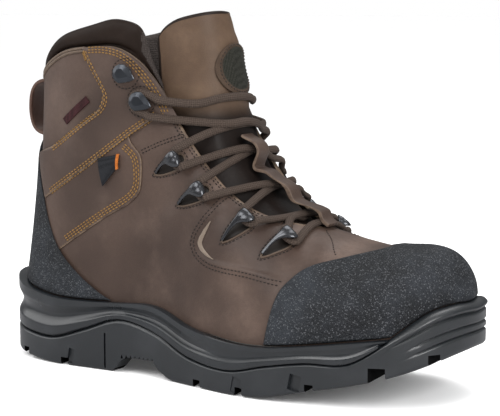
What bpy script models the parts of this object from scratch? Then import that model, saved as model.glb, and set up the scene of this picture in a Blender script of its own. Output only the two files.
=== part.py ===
"""Composite toe work boot for the right foot, as separate pieces.

Tables are in millimetres, the model is in metres. X runs from heel to toe, Y to the inner side of the
foot, Z up. In the tables X is 0 at the back of the heel; the last step puts the origin under the middle.
"""

import math
from collections import namedtuple

import bmesh
import bpy
import numpy as np
from mathutils import Matrix, Vector
from mathutils.bvhtree import BVHTree

MM = 0.001
GAP = 0.3

for old in list(bpy.data.objects):
    bpy.data.objects.remove(old)
parts = bpy.data.collections.new("work_boot")
cutters = bpy.data.collections.new("cutters")
for collection in (parts, cutters):
    bpy.context.scene.collection.children.link(collection)
root = bpy.data.objects.new("boot_origin", None)
parts.objects.link(root)


def material(name, colour, roughness, metallic=0.0):
    made = bpy.data.materials.new(name)
    made.use_nodes = True
    shader = made.node_tree.nodes["Principled BSDF"]
    shader.inputs["Base Color"].default_value = (*colour, 1.0)
    shader.inputs["Roughness"].default_value = roughness
    shader.inputs["Metallic"].default_value = metallic
    made.diffuse_color = (*colour, 1.0)
    return made


OUTSOLE_RUBBER = material("outsole_rubber", (0.045, 0.045, 0.047), 0.75)
MIDSOLE_FOAM = material("midsole_foam", (0.035, 0.035, 0.038), 0.5)
LEATHER = material("brown_leather", (0.115, 0.078, 0.055), 0.6)
PANEL_LEATHER = material("panel_leather", (0.125, 0.088, 0.063), 0.6)
CAP_RUBBER = material("cap_rubber", (0.022, 0.024, 0.028), 0.85)
COLLAR_LEATHER = material("collar_leather", (0.04, 0.027, 0.022), 0.55)
TONGUE_LEATHER = material("tongue_leather", (0.12, 0.082, 0.058), 0.6)
FOOTBED = material("footbed_fabric", (0.06, 0.055, 0.05), 0.9)
METAL = material("gunmetal", (0.03, 0.03, 0.032), 0.3, 0.8)
LACE = material("lace_fabric", (0.035, 0.026, 0.022), 0.9)
PATCH = material("patch_fabric", (0.05, 0.04, 0.03), 0.8)


def place(name, mesh, look, helper=False):
    """An object from a bmesh, or a helper that only cuts."""
    data = bpy.data.meshes.new(name)
    mesh.to_mesh(data)
    mesh.free()
    made = bpy.data.objects.new(name, data)
    made.parent = root
    if helper:
        cutters.objects.link(made)
        made.hide_render = True
        made.display_type = "WIRE"
    else:
        parts.objects.link(made)
        data.materials.append(look)
    return made


def boolean(target, operation, tool):
    cut = target.modifiers.new(operation.lower(), "BOOLEAN")
    cut.operation = operation
    cut.solver = "EXACT"
    cut.object = tool


def solidify(target, thickness, offset):
    shell = target.modifiers.new("thickness", "SOLIDIFY")
    shell.thickness = thickness * MM
    shell.offset = offset
    shell.use_even_offset = True


# Splines

def spline(knots, values, at):
    """A cubic curve through the values at the knots, read at the places in `at`."""
    knots, values, at = (np.asarray(a, float) for a in (knots, values, at))
    slope = np.gradient(values, knots, axis=0)
    i = np.clip(np.searchsorted(knots, at, side="right") - 1, 0, len(knots) - 2)
    h = (knots[i + 1] - knots[i])[:, None]
    f = (at - knots[i])[:, None] / h
    start = values[i] * (1 + 2 * f) + slope[i] * h * f
    end = values[i + 1] * (3 - 2 * f) - slope[i + 1] * h * (1 - f)
    return start * (1 - f) ** 2 + end * f ** 2


def around(rows, at):
    """Rows of a closed ring, each led by its place on the ring, read at the places in `at`."""
    rows = np.array(rows, float)
    before, after = rows.copy(), rows.copy()
    before[:, 0] -= TURN
    after[:, 0] += TURN
    rows = np.vstack([before, rows, after])
    return spline(rows[:, 0], rows[:, 1:], np.mod(at, TURN))


# Sole stations from the heel back to the toe tip: outline half widths to the outer and inner side, heights
# of the tread, of the outsole's top edge and its bed, of the midsole's lip and its bed, and the lip's width

Sole = namedtuple("Sole", "x outer inner tread seam floor lip bed inset")
SOLE = [Sole(*row) for row in (
    (0.0, 0.0, 0.0, 6.5, 20.0, 19.0, 51.0, 37.0, 6.0),
    (5.0, 20.0, 20.0, 5.0, 19.5, 18.5, 50.5, 37.0, 6.0),
    (20.0, 34.5, 34.0, 2.2, 17.0, 16.0, 45.0, 37.0, 5.5),
    (46.0, 41.0, 40.0, 0.0, 15.5, 14.5, 41.0, 37.0, 4.8),
    (70.0, 41.5, 38.5, 0.0, 22.5, 21.5, 40.5, 36.5, 4.5),
    (96.0, 41.5, 35.0, 0.0, 31.0, 30.0, 41.5, 37.0, 4.5),
    (122.0, 42.5, 32.0, 0.0, 26.0, 25.0, 42.0, 37.0, 4.5),
    (150.0, 48.5, 34.0, 0.0, 15.5, 14.5, 33.5, 29.5, 4.5),
    (180.0, 55.0, 42.0, 0.0, 13.0, 12.0, 29.5, 25.5, 4.6),
    (205.0, 57.0, 49.0, 1.5, 18.5, 17.5, 29.5, 25.5, 4.8),
    (230.0, 55.5, 52.5, 7.3, 22.8, 21.8, 32.5, 27.5, 5.2),
    (255.0, 51.5, 53.0, 12.5, 24.5, 23.5, 36.0, 30.5, 6.0),
    (277.0, 43.5, 48.5, 18.3, 39.0, 31.0, 38.5, 35.0, 6.6),
    (292.5, 29.5, 38.5, 24.0, 51.0, 32.5, 38.0, 37.4, 6.8),
    (301.0, 11.0, 25.0, 28.0, 54.5, 33.5, 39.0, 38.4, 7.0),
    (304.0, -8.0, 8.0, 29.5, 54.0, 34.0, 39.5, 38.9, 7.0),
)]
TOE = len(SOLE) - 1
TURN = 2 * TOE
SOLE_RING = [(i, s.x, -s.outer, *s[3:]) for i, s in enumerate(SOLE)]
SOLE_RING += [(TURN - i, SOLE[i].x, SOLE[i].inner, *SOLE[i][3:]) for i in range(TOE - 1, 0, -1)]


class Ring:
    """The sole's stations read at places round the outline: 0 heel back, TOE toe tip, then back inside."""

    def __init__(self, at):
        self.at = np.asarray(at, float)
        read = around(SOLE_RING, self.at)
        ahead = around(SOLE_RING, self.at + 0.02) - around(SOLE_RING, self.at - 0.02)
        ahead = ahead[:, :2] / np.linalg.norm(ahead[:, :2], axis=1)[:, None]
        self.plan = read[:, :2]
        self.out = np.stack([ahead[:, 1], -ahead[:, 0]], axis=1)
        self.tread = np.maximum(read[:, 2], 0.0)
        self.seam, self.floor, self.lip, self.bed, self.inset = read[:, 3:].T

    def points(self, draw_in, z):
        plan = self.plan - self.out * np.broadcast_to(draw_in, self.at.shape)[:, None]
        return np.column_stack([plan, np.broadcast_to(z, self.at.shape)])


def whole_ring(per_station):
    return Ring(np.arange(TURN * per_station) / per_station)


def loft(rings, closed=True):
    """Faces between rings of points that follow one another."""
    mesh = bmesh.new()
    rows = [[mesh.verts.new(p * MM) for p in ring] for ring in rings]
    count = len(rows[0])
    for low, high in zip(rows, rows[1:]):
        for i in range(count if closed else count - 1):
            j = (i + 1) % count
            mesh.faces.new((low[i], low[j], high[j], high[i]))
    return mesh, rows


def ladder(mesh, row, up):
    """Closes a ring with rungs from the outer to the inner side."""
    count = len(row)
    for i in range(count // 2):
        rung = [row[i], row[i + 1], row[count - i - 1], row[(count - i) % count]]
        corners = list(dict.fromkeys(rung))
        mesh.faces.new(corners if up else corners[::-1])


def solid_of_rings(rings):
    mesh, rows = loft(rings)
    ladder(mesh, rows[0], False)
    ladder(mesh, rows[-1], True)
    bmesh.ops.recalc_face_normals(mesh, faces=mesh.faces)
    return mesh


def smooth_step(low, high, value):
    f = np.clip((value - low) / (high - low), 0.0, 1.0)
    return f * f * (3 - 2 * f)


# Outsole: wall rows as share of the height, draw-in, and whether the row is a rib's groove at the toe

OUTSOLE_WALL = (
    (0.00, 1.6, 0), (0.12, 0.4, 0), (0.36, 0.0, 0), (0.42, 0.0, 1), (0.50, 0.0, 0), (0.57, 0.0, 1),
    (0.65, 0.0, 0), (0.72, 0.0, 1), (0.80, 0.0, 0), (0.93, 0.3, 0), (1.00, 1.4, 0),
)
RIB_DEPTH = 1.1
RIM_GAP = 0.5
sole = whole_ring(2)
toe_ribs = RIB_DEPTH * smooth_step(280.0, 294.0, sole.plan[:, 0])
rings = []
for share, draw_in, rib in OUTSOLE_WALL:
    rings.append(sole.points(draw_in + rib * toe_ribs, sole.tread + share * (sole.seam - sole.tread)))
rings.append(sole.points(sole.inset - RIM_GAP, sole.seam))
rings.append(sole.points(sole.inset - RIM_GAP + 0.1, sole.floor))
outsole = place("outsole", solid_of_rings(rings), OUTSOLE_RUBBER)

# Arch under the waist, from the heel's front face to the forefoot
ARCH = ((90.0, -1.0), (93.5, 2.0), (98.5, 7.6), (103.0, 9.6), (121.5, 9.6), (126.0, 5.0), (139.0, -1.0))


def prism(name, outline, y_from, y_to):
    """A side view outline pushed through from one Y to another."""
    mesh = bmesh.new()
    face = mesh.faces.new([mesh.verts.new((x * MM, y_from * MM, z * MM)) for x, z in outline])
    pushed = bmesh.ops.extrude_face_region(mesh, geom=[face])["geom"]
    moved = [v for v in pushed if isinstance(v, bmesh.types.BMVert)]
    bmesh.ops.translate(mesh, vec=(0, (y_to - y_from) * MM, 0), verts=moved)
    bmesh.ops.recalc_face_normals(mesh, faces=mesh.faces)
    return place(name, mesh, None, helper=True)


boolean(outsole, "DIFFERENCE", prism("arch_cutter", ARCH, -80.0, 80.0))

# Hollow in the heel's front face
BREAST = ((74.0, -1.0), (77.0, 8.0), (100.0, 9.0), (100.0, -1.0))
boolean(outsole, "DIFFERENCE", prism("breast_cutter", BREAST, -29.0, 24.0))

# Tread grooves run in from each side past the middle, in turn
GROOVE_WIDTH = 5.0
GROOVE_DEPTH = 4.5
GROOVE_LEAN = math.radians(9.0)
OUTER_GROOVES = (22.5, 55.5, 155.0, 185.5, 230.0, 268.0, 295.5)
INNER_GROOVES = (39.0, 70.0, 170.0, 207.0, 249.0, 282.0)
GROOVE_END = 6.0
GROOVE_OUT = 80.0
mesh = bmesh.new()
for side, places in ((-1.0, OUTER_GROOVES), (1.0, INNER_GROOVES)):
    for x in places:
        rise = float(np.interp(x, [s.x for s in SOLE], [s.tread for s in SOLE]))
        top = rise + GROOVE_DEPTH
        size = Matrix.Diagonal((*(Vector((GROOVE_WIDTH, GROOVE_OUT + GROOVE_END, top + 4.0)) * MM), 1.0))
        middle = Vector((x, side * (GROOVE_OUT - GROOVE_END) / 2, (top - 4.0) / 2)) * MM
        turn = Matrix.Rotation(-side * GROOVE_LEAN, 4, "Z")
        bmesh.ops.create_cube(mesh, size=1.0, matrix=Matrix.Translation(middle) @ turn @ size)
# Upright slit in each side of the heel block
SLIT = Vector((1.2, 3.0, 21.0))
SLIT_AT = Vector((86.5, 40.5, 12.0))
for side in (-1.0, 1.0):
    middle = Vector((SLIT_AT.x, side * SLIT_AT.y - (1.0 + side), SLIT_AT.z)) * MM
    size = Matrix.Diagonal((*(SLIT * MM), 1.0))
    bmesh.ops.create_cube(mesh, size=1.0, matrix=Matrix.Translation(middle) @ size)
boolean(outsole, "DIFFERENCE", place("groove_cutter", mesh, None, helper=True))

# Midsole: rows of its wall as share of the height over the seam and draw-in; the outsole's space is cut away

MIDSOLE_WALL = (
    (0.00, 1.0), (0.14, -0.5), (0.30, 0.3), (0.52, 1.7), (0.76, 0.6), (0.90, -0.4), (1.00, 0.7),
)
low = np.minimum(sole.seam, sole.lip - 3.0)
rings = [sole.points(1.0, sole.floor - 4.0)]
for share, draw_in in MIDSOLE_WALL:
    rings.append(sole.points(draw_in, low + share * (sole.lip - low)))
rings.append(sole.points(sole.inset - RIM_GAP, sole.lip))
rings.append(sole.points(sole.inset - RIM_GAP + 0.1, sole.bed))
midsole = place("midsole", solid_of_rings(rings), MIDSOLE_FOAM)
rings = [
    sole.points(-6.0, sole.floor - 12.0),
    sole.points(-6.0, sole.seam + GAP),
    sole.points(sole.inset - RIM_GAP + GAP, sole.seam + GAP),
    sole.points(sole.inset - RIM_GAP + GAP + 0.1, sole.floor + GAP),
]
boolean(midsole, "DIFFERENCE", place("outsole_space", solid_of_rings(rings), None, helper=True))

# Upper stations: place on the ring, end of the wall over it (collar edge, throat edge, then the ridge of the
# toe), with the inner side further forward and lower, how soon the wall rises and turns in, and the collar's
# height over it

Upper = namedtuple("Upper", "at x forward outer inner z lower rise turn pad")
UPPER = [Upper(*row) for row in (
    (0.0, 24.0, 0.0, 0.0, 0.0, 168.0, 0.0, 1.0, 2.0, 6.0),
    (1.0, 25.5, 0.0, 14.5, 14.5, 170.0, 0.0, 1.0, 1.8, 6.5),
    (2.0, 34.0, 0.0, 26.5, 26.5, 178.0, 2.0, 1.0, 1.5, 7.5),
    (3.0, 51.5, 0.0, 33.5, 33.0, 187.0, 5.0, 1.0, 1.2, 9.5),
    (4.0, 72.0, 2.0, 36.0, 35.5, 190.5, 6.0, 1.1, 1.0, 13.0),
    (5.0, 95.0, 8.0, 35.5, 36.0, 190.0, 4.0, 1.2, 1.0, 16.0),
    (5.5, 106.0, 12.0, 34.0, 35.0, 184.0, 2.0, 1.3, 1.0, 15.0),
    (6.0, 113.0, 14.0, 31.5, 33.0, 177.0, 1.0, 1.4, 0.95, 11.5),
    (6.4, 120.4, 14.0, 29.5, 31.0, 167.6, 0.0, 1.5, 0.9, 6.5),
    (6.8, 129.0, 13.0, 28.3, 30.0, 154.0, 0.0, 1.5, 0.85, 4.0),
    (7.2, 137.6, 12.0, 28.0, 30.0, 139.4, 0.0, 1.5, 0.8, 4.0),
    (7.6, 150.5, 10.0, 27.0, 29.5, 124.5, 0.0, 1.6, 0.77, 4.0),
    (8.0, 163.4, 8.0, 25.5, 28.5, 110.7, 0.0, 1.7, 0.74, 4.0),
    (8.35, 177.0, 6.0, 22.5, 26.0, 101.0, 0.0, 1.8, 0.7, 4.0),
    (8.7, 191.0, 4.0, 17.5, 22.0, 95.0, 0.0, 1.9, 0.65, 4.0),
    (9.0, 201.0, 2.0, 8.0, 16.0, 92.0, 0.0, 2.0, 0.6, 4.0),
    (9.3, 206.0, 0.0, -5.0, 5.0, 90.8, 0.0, 2.1, 0.55, 4.0),
    (10.0, 221.0, 0.0, -5.0, 5.0, 86.5, 0.0, 2.2, 0.5, 4.0),
    (11.0, 240.0, 0.0, -6.0, 6.0, 82.0, 0.0, 2.3, 0.48, 4.0),
    (12.0, 257.0, 0.0, -7.0, 7.0, 80.0, 0.0, 2.4, 0.46, 4.0),
    (13.0, 269.0, 0.0, -8.0, 8.0, 79.6, 0.0, 2.5, 0.44, 4.0),
    (14.0, 276.5, 0.0, -8.0, 8.0, 79.0, 0.0, 2.5, 0.44, 4.0),
    (15.0, 280.0, 0.0, -8.0, 8.0, 78.4, 0.0, 2.5, 0.44, 4.0),
)]
THROAT_END = 9.3
WALL = 2.4
FOOT_GAP = 1.1
BEYOND = 40.0
UPPER_RING = [(u.at, u.x, -u.outer, u.z, u.rise, u.turn, u.pad) for u in UPPER]
for u in UPPER[-2:0:-1]:
    UPPER_RING.append((TURN - u.at, u.x + u.forward, u.inner, u.z - u.lower, u.rise, u.turn, u.pad))


class Wall:
    """The upper's outer face at places on the ring, each a curve from the sole up to its edge."""

    def __init__(self, at):
        self.at = np.mod(np.asarray(at, float), TURN)
        ring = Ring(self.at)
        read = around(UPPER_RING, self.at)
        other = around(UPPER_RING, TURN - self.at)
        on_ridge = np.abs(self.at - TOE) < TOE - THROAT_END + 0.01
        read[on_ridge] = (read[on_ridge] + other[on_ridge]) / 2
        self.pad = read[:, 5]
        foot = ring.points(ring.inset, ring.bed + FOOT_GAP)
        high = np.sin(np.linspace(0.0, math.pi / 2, 61))
        inward = 1 - (1 - high[None, :] ** read[:, 3:4]) ** read[:, 4:5]
        share = np.stack([inward, inward, np.broadcast_to(high, inward.shape)], axis=2)
        curve = foot[:, None, :] + (read[:, None, :3] - foot[:, None, :]) * share
        last = curve[:, -1] - curve[:, -6]
        last *= (BEYOND / np.linalg.norm(last, axis=1))[:, None]
        self.curve = np.concatenate([curve, (curve[:, -1] + last)[:, None]], axis=1)
        steps = np.linalg.norm(np.diff(self.curve, axis=1), axis=2)
        self.along = np.concatenate([np.zeros((len(steps), 1)), np.cumsum(steps, axis=1)], axis=1)
        self.length = self.along[:, -2]
        self.lip = np.maximum(ring.lip, ring.seam)

    def read(self, distance):
        """Points at a distance along each curve from the sole."""
        distance = np.broadcast_to(distance, self.at.shape)
        found = np.empty((len(self.at), 3))
        for i, d in enumerate(distance):
            found[i] = [np.interp(d, self.along[i], self.curve[i, :, axis]) for axis in range(3)]
        return found

    def over_lip(self, clearance):
        """How far along each curve the wall stands clear of the sole's lip."""
        wanted = self.lip + clearance
        return np.array([np.interp(z, c[:-1, 2], a[:-1]) for z, c, a in zip(wanted, self.curve, self.along)])

    def near_edge(self, from_edge, depth=0.0):
        """Points at a distance past the edge, moved in through the wall by a depth."""
        point = self.read(self.length + from_edge)
        if np.any(depth):
            point = point - self.normal(from_edge) * np.broadcast_to(depth, self.at.shape)[:, None]
        return point

    def normal(self, from_edge):
        place = self.length + np.minimum(from_edge, -1.0)
        up = self.read(place + 1.0) - self.read(place - 1.0)
        ahead = Wall(self.at + 0.04).near_edge(-2.0) - Wall(self.at - 0.04).near_edge(-2.0)
        out = np.cross(ahead, up)
        return out / np.linalg.norm(out, axis=1)[:, None]


def wall_grid(at, rows, start, closed):
    """The upper's outer face as a grid from a start distance up to its edge, welded along the ridge."""
    wall = Wall(at)
    rings = [wall.read(start + (wall.length - start) * f) for f in np.linspace(0.0, 1.0, rows)]
    mesh, _ = loft(rings, closed)
    bmesh.ops.remove_doubles(mesh, verts=mesh.verts, dist=0.05 * MM)
    mesh.normal_update()
    return mesh


PER_STATION = 2
UPPER_ROWS = 10
every = np.arange(TURN * PER_STATION) / PER_STATION
mesh = wall_grid(every, UPPER_ROWS, 0.0, True)
wall_tree = BVHTree.FromBMesh(mesh)
upper = place("upper", mesh, LEATHER)
solidify(upper, WALL, -1.0)

# Insole on the midsole's bed
INSOLE_THICK = 4.0
INSOLE_CLEAR = 2.6
bed = whole_ring(2)
edge = bed.inset + WALL + INSOLE_CLEAR
rings = [
    bed.points(edge, bed.bed + GAP),
    bed.points(edge, bed.bed + GAP + INSOLE_THICK - 1.0),
    bed.points(edge + 1.0, bed.bed + GAP + INSOLE_THICK),
]
place("insole", solid_of_rings(rings), FOOTBED)

# Overlays: a shell just off the upper, cut by an outline in side view
OVERLAY = 1.6
OVERLAY_OFF = 0.5


def overlay(name, at, rows, outline, y_from, y_to, look):
    wall = Wall(at)
    mesh = wall_grid(at, rows, wall.over_lip(0.6), False)
    for vert in mesh.verts:
        vert.co += vert.normal * OVERLAY_OFF * MM
    made = place(name, mesh, look)
    solidify(made, OVERLAY, 1.0)
    boolean(made, "INTERSECT", prism(name + "_outline", outline, y_from, y_to))
    return made


TOE_CAP_EDGE = (
    (202.0, 20.0), (203.6, 31.6), (208.0, 56.0), (214.0, 65.5), (222.0, 72.0), (239.0, 77.0), (259.0, 83.0),
    (262.0, 95.0), (330.0, 95.0), (330.0, 20.0),
)
toe_places = np.arange(8.0, 22.01, 0.5)
overlay("toe_cap", toe_places, 9, TOE_CAP_EDGE, -80.0, 80.0, CAP_RUBBER)

COUNTER_EDGE = (
    (-10.0, 30.0), (100.0, 30.0), (90.0, 41.0), (79.5, 46.5), (65.0, 56.0), (51.0, 69.0), (42.0, 84.0),
    (35.0, 103.0), (27.0, 127.0), (20.0, 142.0), (-10.0, 142.0),
)
heel_places = np.arange(-5.0, 5.01, 0.5)
overlay("heel_counter", heel_places, 9, COUNTER_EDGE, -80.0, 80.0, CAP_RUBBER)

ANKLE_PANEL = (
    (29.5, 126.0), (35.8, 105.0), (36.8, 99.0), (60.0, 112.5), (83.0, 127.0), (117.0, 149.5), (128.0, 153.0),
    (160.0, 165.0), (160.0, 210.0), (66.0, 210.0), (69.0, 190.0), (80.0, 173.0), (84.0, 166.0), (83.5, 158.0),
    (77.0, 151.0), (62.0, 141.5), (47.0, 132.5),
)
side_places = np.arange(0.5, 7.51, 0.5)
overlay("ankle_panel_outer", side_places, 12, ANKLE_PANEL, -80.0, 0.0, PANEL_LEATHER)
overlay("ankle_panel_inner", TURN - side_places[::-1], 12, ANKLE_PANEL, 0.0, 80.0, PANEL_LEATHER)

# Collar: section as distance past the edge, above it as share of the pad, and depth in the wall
INSIDE = WALL + 0.5
COLLAR_BELOW = ((-40.0, INSIDE), (-20.0, INSIDE), (-1.5, INSIDE))
COLLAR_ABOVE = ((0.06, INSIDE), (0.25, 0.6), (0.65, 0.4), (0.92, 2.4), (1.0, 5.0), (0.9, 7.8), (0.5, 9.6))
COLLAR_INSIDE = ((-12.0, 9.4), (-40.0, 6.0))
COLLAR_FRONT = 6.4
FRONT_SHORTER = 0.72
FRONT_THINNER = 0.6
wall = Wall(np.arange(-12, 13) / 12 * COLLAR_FRONT)
front = smooth_step(4.4, COLLAR_FRONT, np.minimum(wall.at, TURN - wall.at))
shorter = 1 - FRONT_SHORTER * front
thinner = 1 - FRONT_THINNER * front
rings = []
for from_edge, depth in COLLAR_BELOW:
    rings.append(wall.near_edge(from_edge * shorter, depth))
for share, depth in COLLAR_ABOVE:
    rings.append(wall.near_edge(share * wall.pad, INSIDE + (depth - INSIDE) * thinner))
for from_edge, depth in COLLAR_INSIDE:
    rings.append(wall.near_edge(from_edge * shorter, INSIDE + (depth - INSIDE) * thinner))
sections = np.stack(rings, axis=1)
mesh, rows = loft(sections)
mesh.faces.new(rows[0][::-1])
mesh.faces.new(rows[-1])
bmesh.ops.recalc_face_normals(mesh, faces=mesh.faces)
place("collar", mesh, COLLAR_LEATHER)

# Tongue rows up its front: ridge, and its hidden edges under the eyestays on the outer and inner side
Tongue = namedtuple("Tongue", "x y z edge_x edge_z outer inner forward")
TONGUE = [Tongue(*row) for row in (
    (214.0, 5.0, 81.0, 210.0, 72.0, 20.0, 26.0, 0.0),
    (199.0, 4.0, 90.5, 188.0, 79.0, 30.0, 34.0, 3.0),
    (186.0, 3.0, 99.0, 172.0, 86.0, 33.0, 36.0, 5.0),
    (172.0, 1.0, 112.0, 155.0, 97.0, 33.0, 35.0, 8.0),
    (161.0, -2.0, 131.0, 136.0, 115.0, 32.0, 34.0, 11.0),
    (156.5, -4.0, 154.0, 122.0, 142.0, 28.0, 30.0, 13.0),
    (152.5, -4.0, 177.0, 116.0, 166.0, 24.0, 25.0, 12.0),
    (149.0, -4.0, 196.0, 114.0, 189.0, 22.5, 23.0, 11.0),
    (144.5, -4.0, 211.5, 112.0, 203.0, 21.0, 21.5, 9.0),
)]
TONGUE_THICK = 4.5
TONGUE_COLUMNS = 11
SQUARE = 0.95
UNDER = WALL + 2.5


def tongue_at(row, turn):
    """Points of the tongue's outer face at a place among its rows, turned to the sides, and the ways out."""
    t = Tongue(*spline(np.arange(len(TONGUE)), np.array(TONGUE), [row])[0])
    left = np.array((t.edge_x, -t.outer, t.edge_z))
    right = np.array((t.edge_x + t.forward, t.inner, t.edge_z))
    middle = (left + right) / 2
    to_front = np.array((t.x, t.y, t.z)) - middle
    to_side = (right - left) / 2
    swing = np.sign(turn) * np.abs(np.sin(turn)) ** SQUARE
    reach = np.cos(turn) ** SQUARE
    out = np.outer(reach, to_front / (to_front @ to_front)) + np.outer(swing, to_side / (to_side @ to_side))
    out /= np.linalg.norm(out, axis=1)[:, None]
    return middle + np.outer(reach, to_front) + np.outer(swing, to_side), out


def tongue_front(rows):
    """The tongue's outer face, kept inside the upper's wall."""
    turn = np.linspace(-math.pi / 2, math.pi / 2, TONGUE_COLUMNS)
    grid = np.stack([tongue_at(row, turn)[0] for row in np.linspace(0, len(TONGUE) - 1, rows)])
    for point in grid.reshape(-1, 3):
        spot, out, _, _ = wall_tree.find_nearest(Vector(point) * MM)
        spot, out = np.array(spot) / MM, np.array(out)
        depth = (spot - point) @ out
        past_edge = np.linalg.norm(point - spot + out * depth)
        point -= out * max(UNDER - depth, 0.0) * (1 - smooth_step(1.0, 9.0, past_edge))
    return grid


grid = tongue_front(14)
mesh, _ = loft(grid, closed=False)
bmesh.ops.recalc_face_normals(mesh, faces=mesh.faces)
mesh.normal_update()
if sum(f.normal.x for f in mesh.faces) < 0:
    bmesh.ops.reverse_faces(mesh, faces=mesh.faces)
tongue_tree = BVHTree.FromBMesh(mesh)
tongue = place("tongue", mesh, TONGUE_LEATHER)
solidify(tongue, TONGUE_THICK, -1.0)

# Seats for rings and hooks, in side view from back end to front end; the inner ones lie further forward
Seat = namedtuple("Seat", "back_x back_z front_x front_z forward")
HOOKS = (Seat(95.0, 177.5, 105.0, 174.0, 9.0), Seat(105.0, 161.5, 115.0, 158.0, 12.0))
RINGS = (
    Seat(121.0, 119.0, 139.0, 129.0, 12.0), Seat(138.0, 102.0, 157.0, 112.0, 10.0),
    Seat(171.0, 85.0, 181.0, 96.0, 2.0), Seat(195.0, 78.0, 203.0, 86.0, 4.0),
)
SIDES = (("outer", -1.0), ("inner", 1.0))
ON_PANEL = OVERLAY_OFF + OVERLAY + GAP


def seat(place, side, lift):
    """A frame on the wall with X towards the throat and Z out."""
    forward = place.forward if side > 0 else 0.0
    spots = []
    for x, z in ((place.back_x, place.back_z), (place.front_x, place.front_z)):
        beside = Vector((x + forward, side * 100.0, z))
        spots.append(wall_tree.ray_cast(beside * MM, Vector((0.0, -side, 0.0)))[0])
    middle = (spots[0] + spots[1]) / 2
    spot, out, _, _ = wall_tree.find_nearest(middle)
    ahead = spots[1] - spots[0]
    ahead = (ahead - out * ahead.dot(out)).normalized()
    turn = Matrix((ahead, out.cross(ahead), out)).transposed().to_4x4()
    return Matrix.Translation(spot + out * lift * MM) @ turn


def tube(points, radius, sides=6):
    """A closed round bar along points in millimetres."""
    points = [Vector(p) for p in points]
    rings = []
    side = Vector((0.0, 1.0, 0.0))
    for k, point in enumerate(points):
        way = (points[min(k + 1, len(points) - 1)] - points[max(k - 1, 0)]).normalized()
        if abs(way.dot(side)) > 0.9:
            side = Vector((1.0, 0.0, 0.0))
        side = (side - way * side.dot(way)).normalized()
        up = way.cross(side)
        turns = [2 * math.pi * i / sides for i in range(sides)]
        rings.append([np.array(point + (side * math.cos(t) + up * math.sin(t)) * radius) for t in turns])
    mesh, rows = loft(rings)
    mesh.faces.new(rows[0][::-1])
    mesh.faces.new(rows[-1])
    bmesh.ops.recalc_face_normals(mesh, faces=mesh.faces)
    return mesh


# Lace rings: a wire loop, low at the back and high towards the throat
RING_WIRE = 1.2
RING_LOOP = (
    (-8.0, 1.7), (5.5, 1.7), (7.2, 3.1), (7.2, 6.9), (5.6, 8.1), (3.4, 8.0), (-8.0, 4.7), (-9.4, 3.2),
)
for row, spot in enumerate(RINGS, 1):
    for name, side in SIDES:
        curve = bpy.data.curves.new(f"lace_ring_{row}_{name}", "CURVE")
        curve.dimensions = "3D"
        curve.bevel_depth = RING_WIRE * MM
        curve.bevel_resolution = 1
        line = curve.splines.new("POLY")
        line.points.add(len(RING_LOOP) - 1)
        line.use_cyclic_u = True
        for point, (x, z) in zip(line.points, RING_LOOP):
            point.co = (x * MM, 0.0, z * MM, 1.0)
        curve.materials.append(METAL)
        made = bpy.data.objects.new(curve.name, curve)
        made.parent = root
        made.matrix_local = seat(spot, side, GAP)
        parts.objects.link(made)

# Lace hooks: a turned stud, rows as radius and height
HOOK_TURNED = ((5.2, 0.0), (5.2, 1.2), (2.2, 1.9), (2.2, 4.6), (6.2, 5.4), (6.4, 6.4), (4.0, 7.4))
HOOK_SIDES = 10
for row, spot in enumerate(HOOKS, 1):
    for name, side in SIDES:
        turns = [2 * math.pi * i / HOOK_SIDES for i in range(HOOK_SIDES)]
        rings = [[np.array((r * math.cos(t), r * math.sin(t), z)) for t in turns] for r, z in HOOK_TURNED]
        mesh, rows = loft(rings)
        mesh.faces.new(rows[0][::-1])
        mesh.faces.new(rows[-1])
        bmesh.ops.recalc_face_normals(mesh, faces=mesh.faces)
        place(f"lace_hook_{row}_{name}", mesh, METAL).matrix_local = seat(spot, side, ON_PANEL)

# Laces: runs from hook or ring over the tongue to the other side, two crossing runs joined in one piece
LACE_RADIUS = 2.2
OVER_TONGUE = 3.6
OVER_WALL = 6.3
LACE_TURNS = np.radians((-48.0, -24.0, 0.0, 24.0, 48.0))
RUN_HIGH = 5.0
RUN_APART = 3.7
PAST_HOOK = 9.6
PAST_RING = 11.5
LEVELS = (HOOKS[1],) + RINGS
ROW_UP = (5.25, 4.6, 3.85, 2.9, 1.95)
ROW_DOWN = (4.75, 4.05, 3.2, 2.2, 0.9)


def run_end(level, side, up, to):
    """A run's free end, up or down beside its hook or ring."""
    frame = seat(LEVELS[level], side, GAP if level else ON_PANEL)
    out = frame.col[2].to_3d()
    start = frame @ Vector((0.0, 0.0, RUN_HIGH * MM)) / MM
    way = Vector(to) - start
    way = (way - out * way.dot(out)).normalized()
    higher = out.cross(way)
    higher *= 1.0 if higher.z > 0 else -1.0
    return start + way * (PAST_RING if level else PAST_HOOK) + higher * up * RUN_APART


def off_wall(point):
    """The point, moved out where it is too near the upper's face or its edge."""
    spot, out, _, _ = wall_tree.find_nearest(point * MM)
    high = (point - spot / MM).dot(out)
    past_edge = (point - spot / MM - out * high).length
    return point + out * max(OVER_WALL - high, 0.0) * (1 - float(smooth_step(2.0, 7.0, past_edge)))


def lace_run(first, second):
    """Points of a run from the outer to the inner side, each end a level and whether it leaves up or down."""
    rows = [(ROW_UP if up > 0 else ROW_DOWN)[level] for level, up in (first, second)]
    points = []
    for k, turn in enumerate(LACE_TURNS):
        row = rows[0] + (rows[1] - rows[0]) * k / (len(LACE_TURNS) - 1)
        face, out = tongue_at(row, np.array([turn]))
        points.append(Vector(face[0] + out[0] * OVER_TONGUE))
    start = run_end(first[0], -1.0, first[1], points[0])
    end = run_end(second[0], 1.0, second[1], points[-1])
    points = [start, start.lerp(points[0], 0.5)] + points + [points[-1].lerp(end, 0.5), end]
    return [off_wall(point) for point in points]


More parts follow.
